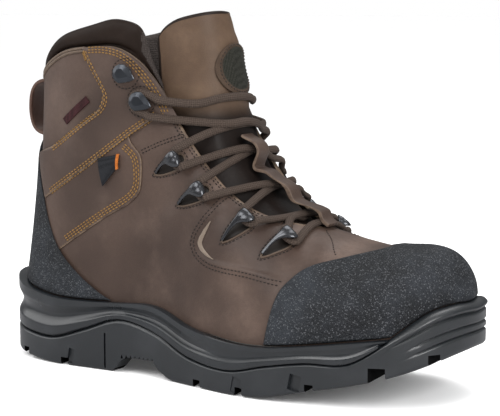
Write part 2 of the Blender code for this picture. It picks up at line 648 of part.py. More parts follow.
for level in range(1, len(LEVELS)):
    name = f"lace_crossing_{level}"
    first = lace_run((level, 1.0), (level - 1, -1.0))
    second = lace_run((level - 1, -1.0), (level, 1.0))
    crossing = place(name, tube(first, LACE_RADIUS), LACE)
    boolean(crossing, "UNION", place(name + "_run", tube(second, LACE_RADIUS), None, helper=True))
last = len(LEVELS) - 1
place("lace_bar_top", tube(lace_run((0, 1.0), (0, 1.0)), LACE_RADIUS), LACE)
bottom_bar = tube(lace_run((last, -1.0), (last, -1.0)), LACE_RADIUS)
boolean(crossing, "UNION", place("lace_bottom_bar", bottom_bar, None, helper=True))


# Straps: a flat strip along a path
def strip(name, path, side, width, thick, look):
    path = [Vector(p) for p in path]
    rings = []
    for k, point in enumerate(path):
        way = (path[min(k + 1, len(path) - 1)] - path[max(k - 1, 0)]).normalized()
        up = way.cross(side).normalized()
        half = side * width / 2
        low, high = up * -thick / 2, up * thick / 2
        rings.append([np.array(point + c) for c in (-half + low, half + low, half + high, -half + high)])
    mesh, rows = loft(rings)
    mesh.faces.new(rows[0][::-1])
    mesh.faces.new(rows[-1])
    bmesh.ops.recalc_face_normals(mesh, faces=mesh.faces)
    return place(name, mesh, look)


# Lace keeper: weaves over the laces down the tongue, rows as place among the tongue's rows and height over it
KEEPER = (
    (4.4, 2.4), (4.3, 4.5), (4.15, 8.0), (3.95, 9.0), (3.75, 8.2), (3.58, 4.4), (3.48, 3.4), (3.38, 4.6),
    (3.22, 8.0), (3.0, 9.0), (2.6, 8.6), (2.05, 9.2), (1.6, 9.4), (1.2, 9.9), (0.95, 9.6),
)
KEEPER_END = ((207.5, 5.0, 96.2), (210.0, 5.0, 93.4), (214.5, 5.0, 90.8))
KEEPER_WIDE = 11.0
KEEPER_THICK = 1.8
spine = np.array([row[:3] for row in TONGUE])
places = np.array([row[0] for row in KEEPER])
line = spline(np.arange(len(TONGUE)), spine, places)
ahead = spline(np.arange(len(TONGUE)), spine, places + 0.05) - line
out = np.column_stack([ahead[:, 2], np.zeros(len(ahead)), -ahead[:, 0]])
out /= np.linalg.norm(out, axis=1)[:, None]
path = list(line + out * np.array([row[1] for row in KEEPER])[:, None]) + list(KEEPER_END)
strip("lace_keeper", path, Vector((0.0, 1.0, 0.0)), KEEPER_WIDE, KEEPER_THICK, LEATHER)

# Pull loop at the back
PULL_LOOP = (
    (23.6, 169.0), (14.0, 168.5), (8.0, 164.0), (5.8, 157.0), (5.6, 149.0), (7.5, 141.5), (12.0, 137.0),
    (20.4, 135.2),
)
PULL_WIDE = 15.0
PULL_THICK = 2.0
path = [(x, 0.0, z) for x, z in PULL_LOOP]
strip("pull_loop", path, Vector((0.0, 1.0, 0.0)), PULL_WIDE, PULL_THICK, COLLAR_LEATHER)

# Round patch on the tongue, laid on its face
PATCH_RADIUS = 15.0
PATCH_AT = 6.05
PATCH_THICK = 1.3
PATCH_OFF = 1.0
PATCH_ASIDE = 4.0
PATCH_SIDES = 16
on_ridge, above = spline(np.arange(len(TONGUE)), spine, [PATCH_AT, PATCH_AT + 0.1])
middle = Vector(on_ridge) + Vector((0.0, PATCH_ASIDE, 0.0))
up = Vector(above - on_ridge).normalized()
side = Vector((0.12, 1.0, 0.0))
side = (side - up * side.dot(up)).normalized()
out = side.cross(up)
mesh = bmesh.new()
rings = []
for share in (0.36, 0.7, 1.0):
    ring = []
    for i in range(PATCH_SIDES):
        t = 2 * math.pi * i / PATCH_SIDES
        point = middle + (side * math.cos(t) + up * math.sin(t)) * PATCH_RADIUS * share
        spot, _, _, _ = tongue_tree.ray_cast((point + out * 40.0) * MM, -out)
        ring.append(np.array(spot / MM + out * PATCH_OFF))
    rings.append(ring)
mesh, rows = loft(rings)
mesh.faces.new(rows[0])
bmesh.ops.recalc_face_normals(mesh, faces=mesh.faces)
mesh.normal_update()
if sum(f.normal.dot(out) for f in mesh.faces) < 0:
    bmesh.ops.reverse_faces(mesh, faces=mesh.faces)
solidify(place("tongue_patch", mesh, PATCH), PATCH_THICK, 1.0)

# Origin under the middle of the boot
bpy.context.view_layer.update()
graph = bpy.context.evaluated_depsgraph_get()
corners = []
for made in parts.objects:
    if made.type == "MESH":
        shape = made.evaluated_get(graph)
        corners += [shape.matrix_world @ Vector(corner) for corner in shape.bound_box]
low = Vector(map(min, zip(*corners)))
high = Vector(map(max, zip(*corners)))
root.location = (-(low.x + high.x) / 2, -(low.y + high.y) / 2, -low.z)
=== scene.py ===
"""Looks of a composite toe work boot for the right foot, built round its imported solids.

Sizes are millimetres from the back of the heel: X to the toe, Y to the inner side of the foot, Z up from
the floor. `at` turns them into the frame's metres.
"""

import math
from collections import namedtuple

import bmesh
import bpy
import numpy as np
from mathutils import Matrix, Vector
from mathutils.bvhtree import BVHTree


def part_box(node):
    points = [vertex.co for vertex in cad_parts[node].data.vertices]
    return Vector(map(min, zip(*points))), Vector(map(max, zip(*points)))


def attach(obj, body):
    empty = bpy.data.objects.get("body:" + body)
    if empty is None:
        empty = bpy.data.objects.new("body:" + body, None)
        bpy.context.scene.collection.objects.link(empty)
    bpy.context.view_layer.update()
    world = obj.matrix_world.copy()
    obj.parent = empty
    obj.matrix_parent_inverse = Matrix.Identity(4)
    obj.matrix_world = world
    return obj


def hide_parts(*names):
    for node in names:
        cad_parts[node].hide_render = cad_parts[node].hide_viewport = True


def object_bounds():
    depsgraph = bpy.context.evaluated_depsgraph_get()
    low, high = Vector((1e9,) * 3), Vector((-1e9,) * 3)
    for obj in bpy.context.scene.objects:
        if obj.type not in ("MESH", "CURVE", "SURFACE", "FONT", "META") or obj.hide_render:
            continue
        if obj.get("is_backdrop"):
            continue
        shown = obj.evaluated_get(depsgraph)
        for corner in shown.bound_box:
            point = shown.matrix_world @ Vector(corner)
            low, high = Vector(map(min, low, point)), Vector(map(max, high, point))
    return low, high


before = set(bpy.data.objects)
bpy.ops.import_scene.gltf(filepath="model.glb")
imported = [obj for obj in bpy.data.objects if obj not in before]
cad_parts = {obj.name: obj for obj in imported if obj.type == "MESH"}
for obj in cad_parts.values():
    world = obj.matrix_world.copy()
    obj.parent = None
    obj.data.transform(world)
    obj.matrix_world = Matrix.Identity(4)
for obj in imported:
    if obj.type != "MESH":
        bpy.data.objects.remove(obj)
cad_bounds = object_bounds()

# Studio
# The camera looks at the outer side from ahead and a little above, as a shop's picture is taken.
# The floor is a plain pale sheet, lit by a white surround and large soft lamps. Surround and floor are
# darker in reflections than as lights, as between dark screens, so that rubber and metal keep their depth.

MM = 0.001
OUTSOLE_OUTER = 57.0
outsole_low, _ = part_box("outsole")
HEEL = Vector((outsole_low.x, outsole_low.y + OUTSOLE_OUTER * MM, 0.0))
scene = bpy.context.scene


def at(x, y, z):
    """A place in millimetres from the back of the heel, in the frame's metres."""
    return HEEL + Vector((float(x), float(y), float(z))) * MM


VIEW_AZIMUTH = math.radians(31.6)
VIEW_ELEVATION = math.radians(7.0)
VIEW_DISTANCE = 0.95
VIEW_AIM = at(162.1, 0.0, 97.6)
VIEW_LENS = 117.2
to_camera = Vector((math.sin(VIEW_AZIMUTH), -math.cos(VIEW_AZIMUTH), math.tan(VIEW_ELEVATION))).normalized()
to_right = Vector((math.cos(VIEW_AZIMUTH), math.sin(VIEW_AZIMUTH), 0.0))
camera = bpy.data.objects.new("camera", bpy.data.cameras.new("camera"))
camera.data.lens = VIEW_LENS
camera_turn = Matrix((to_right, to_camera.cross(to_right), to_camera)).transposed().to_4x4()
camera.matrix_world = Matrix.Translation(VIEW_AIM + to_camera * VIEW_DISTANCE) @ camera_turn
scene.collection.objects.link(camera)
scene.camera = camera
scene.view_settings.view_transform = "Standard"

Lamp = namedtuple("Lamp", "name along aside high size power")
LAMPS = (
    Lamp("key_lamp", -0.25, -1.15, 1.10, 0.9, 13.0),
    Lamp("heel_lamp", -1.00, -0.35, 0.55, 0.9, 5.5),
    Lamp("toe_lamp", 1.05, -0.55, 0.55, 0.6, 12.5),
    Lamp("top_lamp", 0.10, 0.55, 1.30, 0.9, 9.0),
)
for lamp in LAMPS:
    light = bpy.data.lights.new(lamp.name, "AREA")
    light.size = lamp.size
    light.energy = lamp.power
    holder = bpy.data.objects.new(lamp.name, light)
    holder.location = VIEW_AIM + Vector((lamp.along, lamp.aside, lamp.high))
    holder.rotation_euler = (holder.location - VIEW_AIM).to_track_quat("Z", "Y").to_euler()
    scene.collection.objects.link(holder)

world = bpy.data.worlds.new("white_surround")
world.use_nodes = True
scene.world = world


def node(tree, kind, inputs=None, **settings):
    """A shader node with its settings, each input given a value or linked to an output."""
    made = tree.nodes.new(kind)
    for key, value in settings.items():
        setattr(made, key, value)
    for key, value in (inputs or {}).items():
        if isinstance(value, bpy.types.NodeSocket):
            tree.links.new(value, made.inputs[key])
        else:
            made.inputs[key].default_value = value
    return made


def finish(name, **shader_inputs):
    """A material whose one shader has the given inputs, and the tree to link more into it."""
    made = bpy.data.materials.new(name)
    made.use_nodes = True
    shader = made.node_tree.nodes["Principled BSDF"]
    for key, value in shader_inputs.items():
        shader.inputs[key.replace("_", " ")].default_value = value
    return made, made.node_tree, shader


def new_object(name, mesh, *looks):
    """An object from a bmesh, with its materials, shaded smooth over all but its sharp edges."""
    data = bpy.data.meshes.new(name)
    mesh.to_mesh(data)
    mesh.free()
    for look in looks:
        data.materials.append(look)
    data.shade_smooth()
    made = bpy.data.objects.new(name, data)
    scene.collection.objects.link(made)
    return made


def blend(tree, share, low, high, how="MIX"):
    """A colour between two, by a share."""
    made = node(tree, "ShaderNodeMix", {0: share, 6: low, 7: high}, data_type="RGBA", blend_type=how)
    return made.outputs[2]


def share(tree, value, low, high):
    """How far a value has come from one limit to the other, 0 to 1."""
    limits = {"Value": value, "From Min": low, "From Max": high}
    return node(tree, "ShaderNodeMapRange", limits, interpolation_type="SMOOTHSTEP").outputs["Result"]


def noise(tree, where, scale, detail=3.0, roughness=0.5):
    inputs = {"Vector": where, "Scale": scale, "Detail": detail, "Roughness": roughness}
    return node(tree, "ShaderNodeTexNoise", inputs).outputs["Fac"]


def sum_of(tree, first, second, how="ADD"):
    return node(tree, "ShaderNodeMath", {0: first, 1: second}, operation=how).outputs["Value"]


def place_on(tree):
    return node(tree, "ShaderNodeTexCoord").outputs["Object"]


WHITE = (1.0, 1.0, 1.0, 1.0)
LOW_TO_HIGH = (-0.1, 0.9)
SKY_LIGHT = ((0.55, 0.55, 0.56, 1.0), (1.15, 1.15, 1.15, 1.0))
SKY_MIRRORED = ((0.10, 0.10, 0.11, 1.0), (0.45, 0.45, 0.45, 1.0))
tree = world.node_tree
way_seen = node(tree, "ShaderNodeTexCoord").outputs["Generated"]
upward = node(tree, "ShaderNodeSeparateXYZ", {"Vector": way_seen}).outputs["Z"]
overhead = share(tree, upward, *LOW_TO_HIGH)
rays = node(tree, "ShaderNodeLightPath").outputs
lit_from = blend(tree, overhead, *SKY_LIGHT)
sky = blend(tree, rays["Is Glossy Ray"], lit_from, blend(tree, overhead, *SKY_MIRRORED))
sky = blend(tree, rays["Is Camera Ray"], sky, WHITE)
tree.links.new(sky, tree.nodes["Background"].inputs["Color"])

FLOOR_SIZE = 40.0
FLOOR_BELOW = 0.0003
FLOOR_GLOW = 0.06
FLOOR_TINTS = ((0.975, 0.975, 0.975, 1.0), (0.985, 0.985, 0.985, 1.0))
FLOOR_MIRRORED = (0.30, 0.30, 0.31, 1.0)
glow = {"Emission_Color": WHITE, "Emission_Strength": FLOOR_GLOW}
floor_look, tree, shader = finish("pale_floor", Roughness=0.9, **glow)
tint = blend(tree, noise(tree, place_on(tree), 3.0), *FLOOR_TINTS)
glossy = node(tree, "ShaderNodeLightPath").outputs["Is Glossy Ray"]
tint = blend(tree, glossy, tint, FLOOR_MIRRORED)
tree.links.new(tint, shader.inputs["Base Color"])
mesh = bmesh.new()
bmesh.ops.create_grid(mesh, x_segments=2, y_segments=2, size=FLOOR_SIZE)
bmesh.ops.translate(mesh, verts=mesh.verts, vec=(0.0, 0.0, -FLOOR_BELOW))
new_object("floor", mesh, floor_look)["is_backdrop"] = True

# Outsole
# One moulding of hard rubber, with lugs under heel and ball, and a ribbed bumper that turns up over the toe.
# The midsole is cast into its rim.

Sole = namedtuple("Sole", "x outer inner tread seam floor lip bed inset")
SOLE = [Sole(*row) for row in (
    (0.0, 0.0, 0.0, 6.5, 20.0, 19.0, 51.0, 37.0, 6.0),
    (5.0, 20.0, 20.0, 5.0, 19.5, 18.5, 50.5, 37.0, 6.0),
    (20.0, 34.5, 34.0, 2.2, 17.0, 16.0, 45.0, 37.0, 5.5),
    (46.0, 41.0, 40.0, 0.0, 15.5, 14.5, 41.0, 37.0, 4.8),
    (70.0, 41.5, 38.5, 0.0, 22.5, 21.5, 40.5, 36.5, 4.5),
    (96.0, 41.5, 35.0, 0.0, 31.0, 30.0, 41.5, 37.0, 4.5),
    (122.0, 42.5, 32.0, 0.0, 26.0, 25.0, 42.0, 37.0, 4.5),
    (150.0, 48.5, 34.0, 0.0, 15.5, 14.5, 33.5, 29.5, 4.5),
    (180.0, 55.0, 42.0, 0.0, 13.0, 12.0, 29.5, 25.5, 4.6),
    (205.0, 57.0, 49.0, 1.5, 18.5, 17.5, 29.5, 25.5, 4.8),
    (230.0, 55.5, 52.5, 7.3, 22.8, 21.8, 32.5, 27.5, 5.2),
    (255.0, 51.5, 53.0, 12.5, 24.5, 23.5, 36.0, 30.5, 6.0),
    (277.0, 43.5, 48.5, 18.3, 39.0, 31.0, 38.5, 35.0, 6.6),
    (292.5, 29.5, 38.5, 24.0, 51.0, 32.5, 38.0, 37.4, 6.8),
    (301.0, 11.0, 25.0, 28.0, 54.5, 33.5, 39.0, 38.4, 7.0),
    (304.0, -8.0, 8.0, 29.5, 54.0, 34.0, 39.5, 38.9, 7.0),
)]
TOE = len(SOLE) - 1
TURN = 2 * TOE
SOLE_RING = [(i, s.x, -s.outer, *s[3:]) for i, s in enumerate(SOLE)]
SOLE_RING += [(TURN - i, SOLE[i].x, SOLE[i].inner, *SOLE[i][3:]) for i in range(TOE - 1, 0, -1)]
PLACES_PER_STATION = 6
RIM_GAP = 0.5
DRAFT = 0.1


def spline(knots, values, places):
    """A cubic curve through the values at the knots, read at places."""
    knots, values, places = (np.asarray(a, float) for a in (knots, values, places))
    slope = np.gradient(values, knots, axis=0)
    i = np.clip(np.searchsorted(knots, places, side="right") - 1, 0, len(knots) - 2)
    h = (knots[i + 1] - knots[i])[:, None]
    f = (places - knots[i])[:, None] / h
    start = values[i] * (1 + 2 * f) + slope[i] * h * f
    end = values[i + 1] * (3 - 2 * f) - slope[i + 1] * h * (1 - f)
    return start * (1 - f) ** 2 + end * f ** 2


def around_sole(places):
    rows = np.array(SOLE_RING, float)
    turns = [rows + np.eye(1, rows.shape[1])[0] * TURN * k for k in (-1, 0, 1)]
    rows = np.vstack(turns)
    return spline(rows[:, 0], rows[:, 1:], np.mod(places, TURN))


def smooth_step(low, high, value):
    f = np.clip((value - low) / (high - low), 0.0, 1.0)
    return f * f * (3 - 2 * f)


def bump_at(middle, width, value):
    """A soft bump of height 1 round a value."""
    return np.exp(-((value - middle) / width) ** 2)


round_sole = np.arange(TURN * PLACES_PER_STATION) / PLACES_PER_STATION
sole = around_sole(round_sole)
sole_ahead = (around_sole(round_sole + 0.02) - around_sole(round_sole - 0.02))[:, :2]
sole_ahead /= np.linalg.norm(sole_ahead, axis=1)[:, None]
sole_x, sole_y = sole[:, 0], sole[:, 1]
tread = np.maximum(sole[:, 2], 0.0)
seam, sole_floor, lip, bed, inset = sole[:, 3:].T


def sole_ring(draw_in, z):
    """The sole's outline at a height, drawn in from its widest line."""
    x = sole_x - sole_ahead[:, 1] * draw_in
    y = sole_y + sole_ahead[:, 0] * draw_in
    return np.column_stack([x, y, np.broadcast_to(z, x.shape)])


def loft(rings, closed=True):
    """A wall through rings of points, each extruded from the one before; gives the mesh and its rows."""
    mesh = bmesh.new()
    row = [mesh.verts.new(at(*point)) for point in rings[0]]
    pairs = list(zip(range(len(row)), list(range(1, len(row))) + [0]))[:None if closed else -1]
    for i, j in pairs:
        mesh.edges.new((row[i], row[j]))
    rows = [row]
    for ring in rings[1:]:
        edges = [mesh.edges.get((rows[-1][i], rows[-1][j])) for i, j in pairs]
        known = set(rows[-1]) | set(rows[-2] if len(rows) > 1 else ())
        bmesh.ops.extrude_edge_only(mesh, edges=edges)
        new = []
        for vert, point in zip(rows[-1], ring):
            grown = next(e.other_vert(vert) for e in vert.link_edges if e.other_vert(vert) not in known)
            grown.co = at(*point)
            new.append(grown)
        rows.append(new)
    return mesh, rows


def close_across(mesh, row):
    """Rungs over a ring of the sole, from its outer to its inner side."""
    count = len(row)
    for i in range(count // 2):
        rung = dict.fromkeys((row[i], row[i + 1], row[count - i - 1], row[(count - i) % count]))
        bmesh.ops.contextual_create(mesh, geom=list(rung))


def sole_solid(rings):
    mesh, rows = loft(rings)
    close_across(mesh, rows[0])
    close_across(mesh, rows[-1])
    bmesh.ops.recalc_face_normals(mesh, faces=mesh.faces)
    return mesh


def cut_away(mesh, cutter, how="DIFFERENCE"):
    """The mesh without the cutter's space, or with only that."""
    target = new_object("being_cut", mesh)
    tool = new_object("cutter", cutter)
    cut = target.modifiers.new("cut", "BOOLEAN")
    cut.operation = how
    cut.object = tool
    bpy.context.view_layer.update()
    graph = bpy.context.evaluated_depsgraph_get()
    made = bmesh.new()
    made.from_mesh(bpy.data.meshes.new_from_object(target.evaluated_get(graph)))
    bpy.data.objects.remove(target)
    bpy.data.objects.remove(tool)
    return made


def add_box(mesh, middle, size, turn=None):
    """A box in millimetres, turned about its middle."""
    scale = Matrix.Diagonal((*(Vector(size) * MM), 1.0))
    matrix = Matrix.Translation(at(*middle)) @ (turn or Matrix()) @ scale
    bmesh.ops.create_cube(mesh, size=1.0, matrix=matrix)


def add_prism(mesh, outline, y_from, y_to):
    """A side view outline pushed through from one Y to another."""
    face = bmesh.ops.contextual_create(mesh, geom=[mesh.verts.new(at(x, y_from, z)) for x, z in outline])
    pushed = bmesh.ops.extrude_face_region(mesh, geom=face["faces"])["geom"]
    moved = [v for v in pushed if isinstance(v, bmesh.types.BMVert)]
    bmesh.ops.translate(mesh, verts=moved, vec=(0.0, (y_to - y_from) * MM, 0.0))
    bmesh.ops.recalc_face_normals(mesh, faces=mesh.faces)


# The wall from tread to seam, by shares of its height: rounded at foot and edge, and on the turned-up toe
# two ribs and a round bead over a groove
OUTSOLE_ROWS = 46
FOOT_ROUND = 1.6
FOOT_TO = 0.10
EDGE_ROUND = 1.4
EDGE_FROM = 0.92
TOE_TURNS_UP = (268.0, 292.0)
TOE_RIBBED = (281.0, 293.0)
Ridge = namedtuple("Ridge", "part width depth")
RIBS = (Ridge(0.36, 0.022, 1.2), Ridge(0.53, 0.022, 1.2))
BEAD_ROUND = 2.8
BEAD_FROM = 0.85
BEAD_RIDGES = (Ridge(0.80, 0.028, 1.3), Ridge(0.90, 0.06, -0.9))
rings = []
turned_up = smooth_step(*TOE_TURNS_UP, sole_x)
ribbed = smooth_step(*TOE_RIBBED, sole_x)
for part in np.linspace(0.0, 1.0, OUTSOLE_ROWS):
    foot = FOOT_ROUND * max(1 - part / FOOT_TO, 0.0) ** 2
    edge = EDGE_ROUND * max((part - EDGE_FROM) / (1 - EDGE_FROM), 0.0) ** 2
    into_bead = max((part - BEAD_FROM) / (1 - BEAD_FROM), 0.0)
    bead = BEAD_ROUND * (1 - math.sqrt(1 - into_bead ** 2))
    bead += sum(ridge.depth * bump_at(ridge.part, ridge.width, part) for ridge in BEAD_RIDGES)
    ribs = sum(ridge.depth * bump_at(ridge.part, ridge.width, part) for ridge in RIBS)
    draw_in = foot + edge * (1 - turned_up) + bead * turned_up + ribs * ribbed
    rings.append(sole_ring(draw_in, tread + part * (seam - tread)))
rings.append(sole_ring(inset - RIM_GAP, seam))
rings.append(sole_ring(inset - RIM_GAP + DRAFT, sole_floor))
outsole_mesh = sole_solid(rings)

# The hollows under the waist and in the heel's front face
ARCH = ((90.0, -1.0), (93.5, 2.0), (98.5, 7.6), (103.0, 9.6), (121.5, 9.6), (126.0, 5.0), (139.0, -1.0))
BREAST = ((74.0, -1.0), (77.0, 8.0), (100.0, 9.0), (100.0, -1.0))
HOLLOWS = ((ARCH, -80.0, 80.0), (BREAST, -29.0, 24.0))
for hollow_outline, y_from, y_to in HOLLOWS:
    hollow = bmesh.new()
    add_prism(hollow, hollow_outline, y_from, y_to)
    outsole_mesh = cut_away(outsole_mesh, hollow)

# Grooves between the lugs, in turn from each side; lug pockets, slits and the row of teeth under the waist
GROOVE_WIDTH = 5.0
GROOVE_DEPTH = 4.5
GROOVE_LEAN = math.radians(9.0)
GROOVE_END = 6.0
GROOVE_OUT = 80.0
GROOVE_UNDER = 4.0
TOE_GROOVE_WIDTH = 9.0
TOE_GROOVE_DEPTH = 7.5
TOE_GROOVE = 268.0
OUTER_GROOVES = (22.5, 55.5, 155.0, 185.5, 230.0, TOE_GROOVE, 295.5)
INNER_GROOVES = (39.0, 70.0, 170.0, 207.0, 249.0, 282.0)
SLIT_SIZE = (1.2, 3.0, 21.0)
SLITS_AT = ((86.5, -40.5, 12.0), (86.5, 38.5, 12.0))
grooves = bmesh.new()
for side, places in ((-1.0, OUTER_GROOVES), (1.0, INNER_GROOVES)):
    for x in places:
        at_toe = x == TOE_GROOVE
        top = float(np.interp(x, [s.x for s in SOLE], [s.tread for s in SOLE]))
        top += TOE_GROOVE_DEPTH if at_toe else GROOVE_DEPTH
        wide = TOE_GROOVE_WIDTH if at_toe else GROOVE_WIDTH
        middle = (x, side * (GROOVE_OUT - GROOVE_END) / 2, (top - GROOVE_UNDER) / 2)
        size = (wide, GROOVE_OUT + GROOVE_END, top + GROOVE_UNDER)
        add_box(grooves, middle, size, Matrix.Rotation(-side * GROOVE_LEAN, 4, "Z"))
for middle in SLITS_AT:
    add_box(grooves, middle, SLIT_SIZE)
outsole_mesh = cut_away(outsole_mesh, grooves)
POCKETS = ((224.5, -56.5, 12.0, 7.0), (187.0, -57.5, 6.0, 6.0), (61.0, -42.5, 6.0, 4.0))
POCKET_DEEP = 5.0
POCKET_HIGH = 9.0
POCKET_LEAN = Matrix.Rotation(math.radians(12.0), 4, "Y")
TEETH = (99.0, 122.0)
TOOTH_PITCH = 3.2
TOOTH_GAP = ((-0.9, 8.6), (0.0, 11.2), (0.9, 8.6))
TEETH_ACROSS = (-70.0, 60.0)
details = bmesh.new()
for x, y, z, wide in POCKETS:
    add_box(details, (x, y, z), (wide, POCKET_DEEP, POCKET_HIGH), POCKET_LEAN)
for x in np.arange(*TEETH, TOOTH_PITCH):
    add_prism(details, [(x + along, z) for along, z in TOOTH_GAP], *TEETH_ACROSS)
outsole_mesh = cut_away(outsole_mesh, details)

# Faces inside the grooves and hollows take a second, darker material: painted shade where little light comes
# in
GROOVE_INSIDE = 2.2
GROOVE_ABOVE = 0.8
fine_edge = around_sole(np.arange(0.0, TURN, 0.02))
for face in outsole_mesh.faces:
    middle = np.array((face.calc_center_median() - HEEL) / MM)
    gaps = np.linalg.norm(fine_edge[:, :2] - middle[:2], axis=1)
    tread_here, seam_here = fine_edge[gaps.argmin(), 2:4]
    low_enough = middle[2] < seam_here - GROOVE_INSIDE
    high_enough = middle[2] > max(tread_here, 0.0) + GROOVE_ABOVE
    face.material_index = int(gaps.min() > GROOVE_INSIDE and low_enough and high_enough)


GLOSS_SPREAD = 0.10


def moulded(name, colour, pale, roughness, grain, depth, gloss):
    """Moulded rubber or foam: a fine even grain, cloudy dust and slightly uneven gloss."""
    look, tree, shader = finish(name, Specular_IOR_Level=gloss)
    where = place_on(tree)
    cloud = share(tree, noise(tree, where, 42.0, 5.0, 0.6), 0.40, 0.75)
    tree.links.new(blend(tree, cloud, colour, pale), shader.inputs["Base Color"])
    limits = {"To Min": roughness - GLOSS_SPREAD, "To Max": roughness + GLOSS_SPREAD}
    uneven = node(tree, "ShaderNodeMapRange", {"Value": noise(tree, where, 90.0, 4.0), **limits})
    tree.links.new(uneven.outputs["Result"], shader.inputs["Roughness"])
    height = noise(tree, where, grain, 2.0)
    fine = node(tree, "ShaderNodeBump", {"Height": height, "Distance": depth * MM, "Strength": 0.5})
    tree.links.new(fine.outputs["Normal"], shader.inputs["Normal"])
    return look


def dress(piece, slot, *nodes):
    """Puts a piece on the boot: its body, and the solids it stands for are hidden; slot is not used."""
    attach(piece, "root")
    if nodes:
        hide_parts(*nodes)


OUTSOLE_DARK = (0.0068, 0.0086, 0.0104, 1.0)
OUTSOLE_DUSTY = (0.0124, 0.0144, 0.0170, 1.0)
GROOVE_SHADE_DARK = (0.0012, 0.0012, 0.0013, 1.0)
GROOVE_SHADE_PALE = (0.0030, 0.0030, 0.0031, 1.0)
OUTSOLE_SHARP = math.radians(32.0)
outsole_look = moulded("outsole_rubber", OUTSOLE_DARK, OUTSOLE_DUSTY, 0.38, 1400.0, 0.16, 0.70)
# Painted shade, nearly black, for the insides of grooves and hollows
groove_shade_look = moulded("groove_dirt", GROOVE_SHADE_DARK, GROOVE_SHADE_PALE, 0.85, 1400.0, 0.20, 0.05)
outsole = new_object("outsole_moulding", outsole_mesh, outsole_look, groove_shade_look)
outsole.data.set_sharp_from_angle(angle=OUTSOLE_SHARP)
dress(outsole, "outsole_rubber", "outsole")

# Midsole
# A softer cast layer between the upper and the outsole: a rolled lip over a hollow band over a lower roll.
# It swells up round the heel and runs out behind the toe's bumper; fine lines follow the seam at the waist.

MIDSOLE_WALL = (
    (0.00, 1.2), (0.06, 0.2), (0.14, -0.5), (0.26, -0.1), (0.42, 1.4), (0.54, 1.9), (0.68, 1.0), (0.82, -0.2),
    (0.92, -0.5), (0.97, -0.1), (1.00, 0.8),
)
MIDSOLE_ROWS = 40
SEAM_GAP = 0.3
MIDSOLE_LEAST = 3.0
WAIST_RIDGES = [Ridge(part, 0.016, 0.45) for part in (0.24, 0.36, 0.48)]
WAIST_FROM = (92.0, 108.0)
WAIST_TO = (150.0, 176.0)
HEEL_TO = (60.0, 100.0)
HEEL_FULLER = 0.5
FORE_FROM = (140.0, 175.0)
FORE_FLATTER = 0.45
RIM_PASSED = 0.6
LIP_DROP = 0.2
seam_top = np.minimum(seam, lip - MIDSOLE_LEAST) + SEAM_GAP
inside_rim = inset - RIM_GAP + SEAM_GAP
waist = smooth_step(*WAIST_FROM, sole_x) * (1 - smooth_step(*WAIST_TO, sole_x))
fullness = 1.0 + HEEL_FULLER * (1 - smooth_step(*HEEL_TO, sole_x))
fullness -= FORE_FLATTER * smooth_step(*FORE_FROM, sole_x)
parts = np.linspace(0.0, 1.0, MIDSOLE_ROWS)
wall_parts, wall_draws = np.array(MIDSOLE_WALL).T
profile = spline(wall_parts, wall_draws[:, None], parts)[:, 0]
rings = [sole_ring(inside_rim + DRAFT, sole_floor + SEAM_GAP), sole_ring(inside_rim, seam_top)]
for part, draw_in in zip(parts, profile):
    z = seam_top + part * (lip - seam_top)
    lines = sum(ridge.depth * bump_at(ridge.part, ridge.width, part) for ridge in WAIST_RIDGES)
    behind_rim = smooth_step(RIM_PASSED, 0.0, z - seam) * (z < seam + RIM_PASSED)
    rings.append(sole_ring(np.maximum(draw_in * fullness + lines * waist, behind_rim * inside_rim), z))
rings.append(sole_ring(inset - RIM_GAP, lip - LIP_DROP))
rings.append(sole_ring(inset - RIM_GAP + DRAFT, bed))
MIDSOLE_DARK = (0.0060, 0.0076, 0.0093, 1.0)
MIDSOLE_DUSTY = (0.0105, 0.0126, 0.0152, 1.0)
MIDSOLE_SHARP = math.radians(40.0)
midsole_look = moulded("midsole_foam", MIDSOLE_DARK, MIDSOLE_DUSTY, 0.31, 900.0, 0.08, 0.70)
midsole = new_object("midsole_casting", sole_solid(rings), midsole_look)
midsole.data.set_sharp_from_angle(angle=MIDSOLE_SHARP)
dress(midsole, "midsole_foam", "midsole")

# Insole
# A loose footbed: foam under a dark knitted cover, laid on the midsole inside the upper.

MERGED = 0.01
PAIRED = {"angle_face_threshold": 1.2, "angle_shape_threshold": 3.1}
SHARP = math.radians(50.0)


def merged_copy(name):
    """A solid's mesh with its corners merged and its triangles paired again."""
    mesh = bmesh.new()
    mesh.from_mesh(bpy.data.objects[name].data)
    bmesh.ops.remove_doubles(mesh, verts=mesh.verts, dist=MERGED * MM)
    bmesh.ops.join_triangles(mesh, faces=mesh.faces, **PAIRED)
    return mesh


def corners_of(data):
    found = np.empty(len(data.vertices) * 3)
    data.vertices.foreach_get("co", found)
    return found.reshape(-1, 3)


def subdivided(mesh, levels, sharp=None, crease=0.0, fit=3):
    """A dense smooth mesh through the corners of a coarse one; edges over the sharp angle keep a crease."""
    if sharp:
        creases = mesh.edges.layers.float.new("crease_edge")
        for edge in mesh.edges:
            edge[creases] = crease if edge.calc_face_angle(0.0) > sharp else 0.0
    cage = new_object("cage", mesh)
    smooth = cage.modifiers.new("smooth", "SUBSURF")
    smooth.levels = smooth.render_levels = levels
    wanted = corners_of(cage.data)
    moved = wanted.copy()
    for _ in range(fit + 1):
        bpy.context.view_layer.update()
        graph = bpy.context.evaluated_depsgraph_get()
        dense = bpy.data.meshes.new_from_object(cage.evaluated_get(graph))
        moved += wanted - corners_of(dense)[:len(wanted)]
        cage.data.vertices.foreach_set("co", moved.ravel())
        cage.data.update()
    made = bmesh.new()
    made.from_mesh(dense)
    bpy.data.objects.remove(cage)
    bpy.data.meshes.remove(dense)
    return made


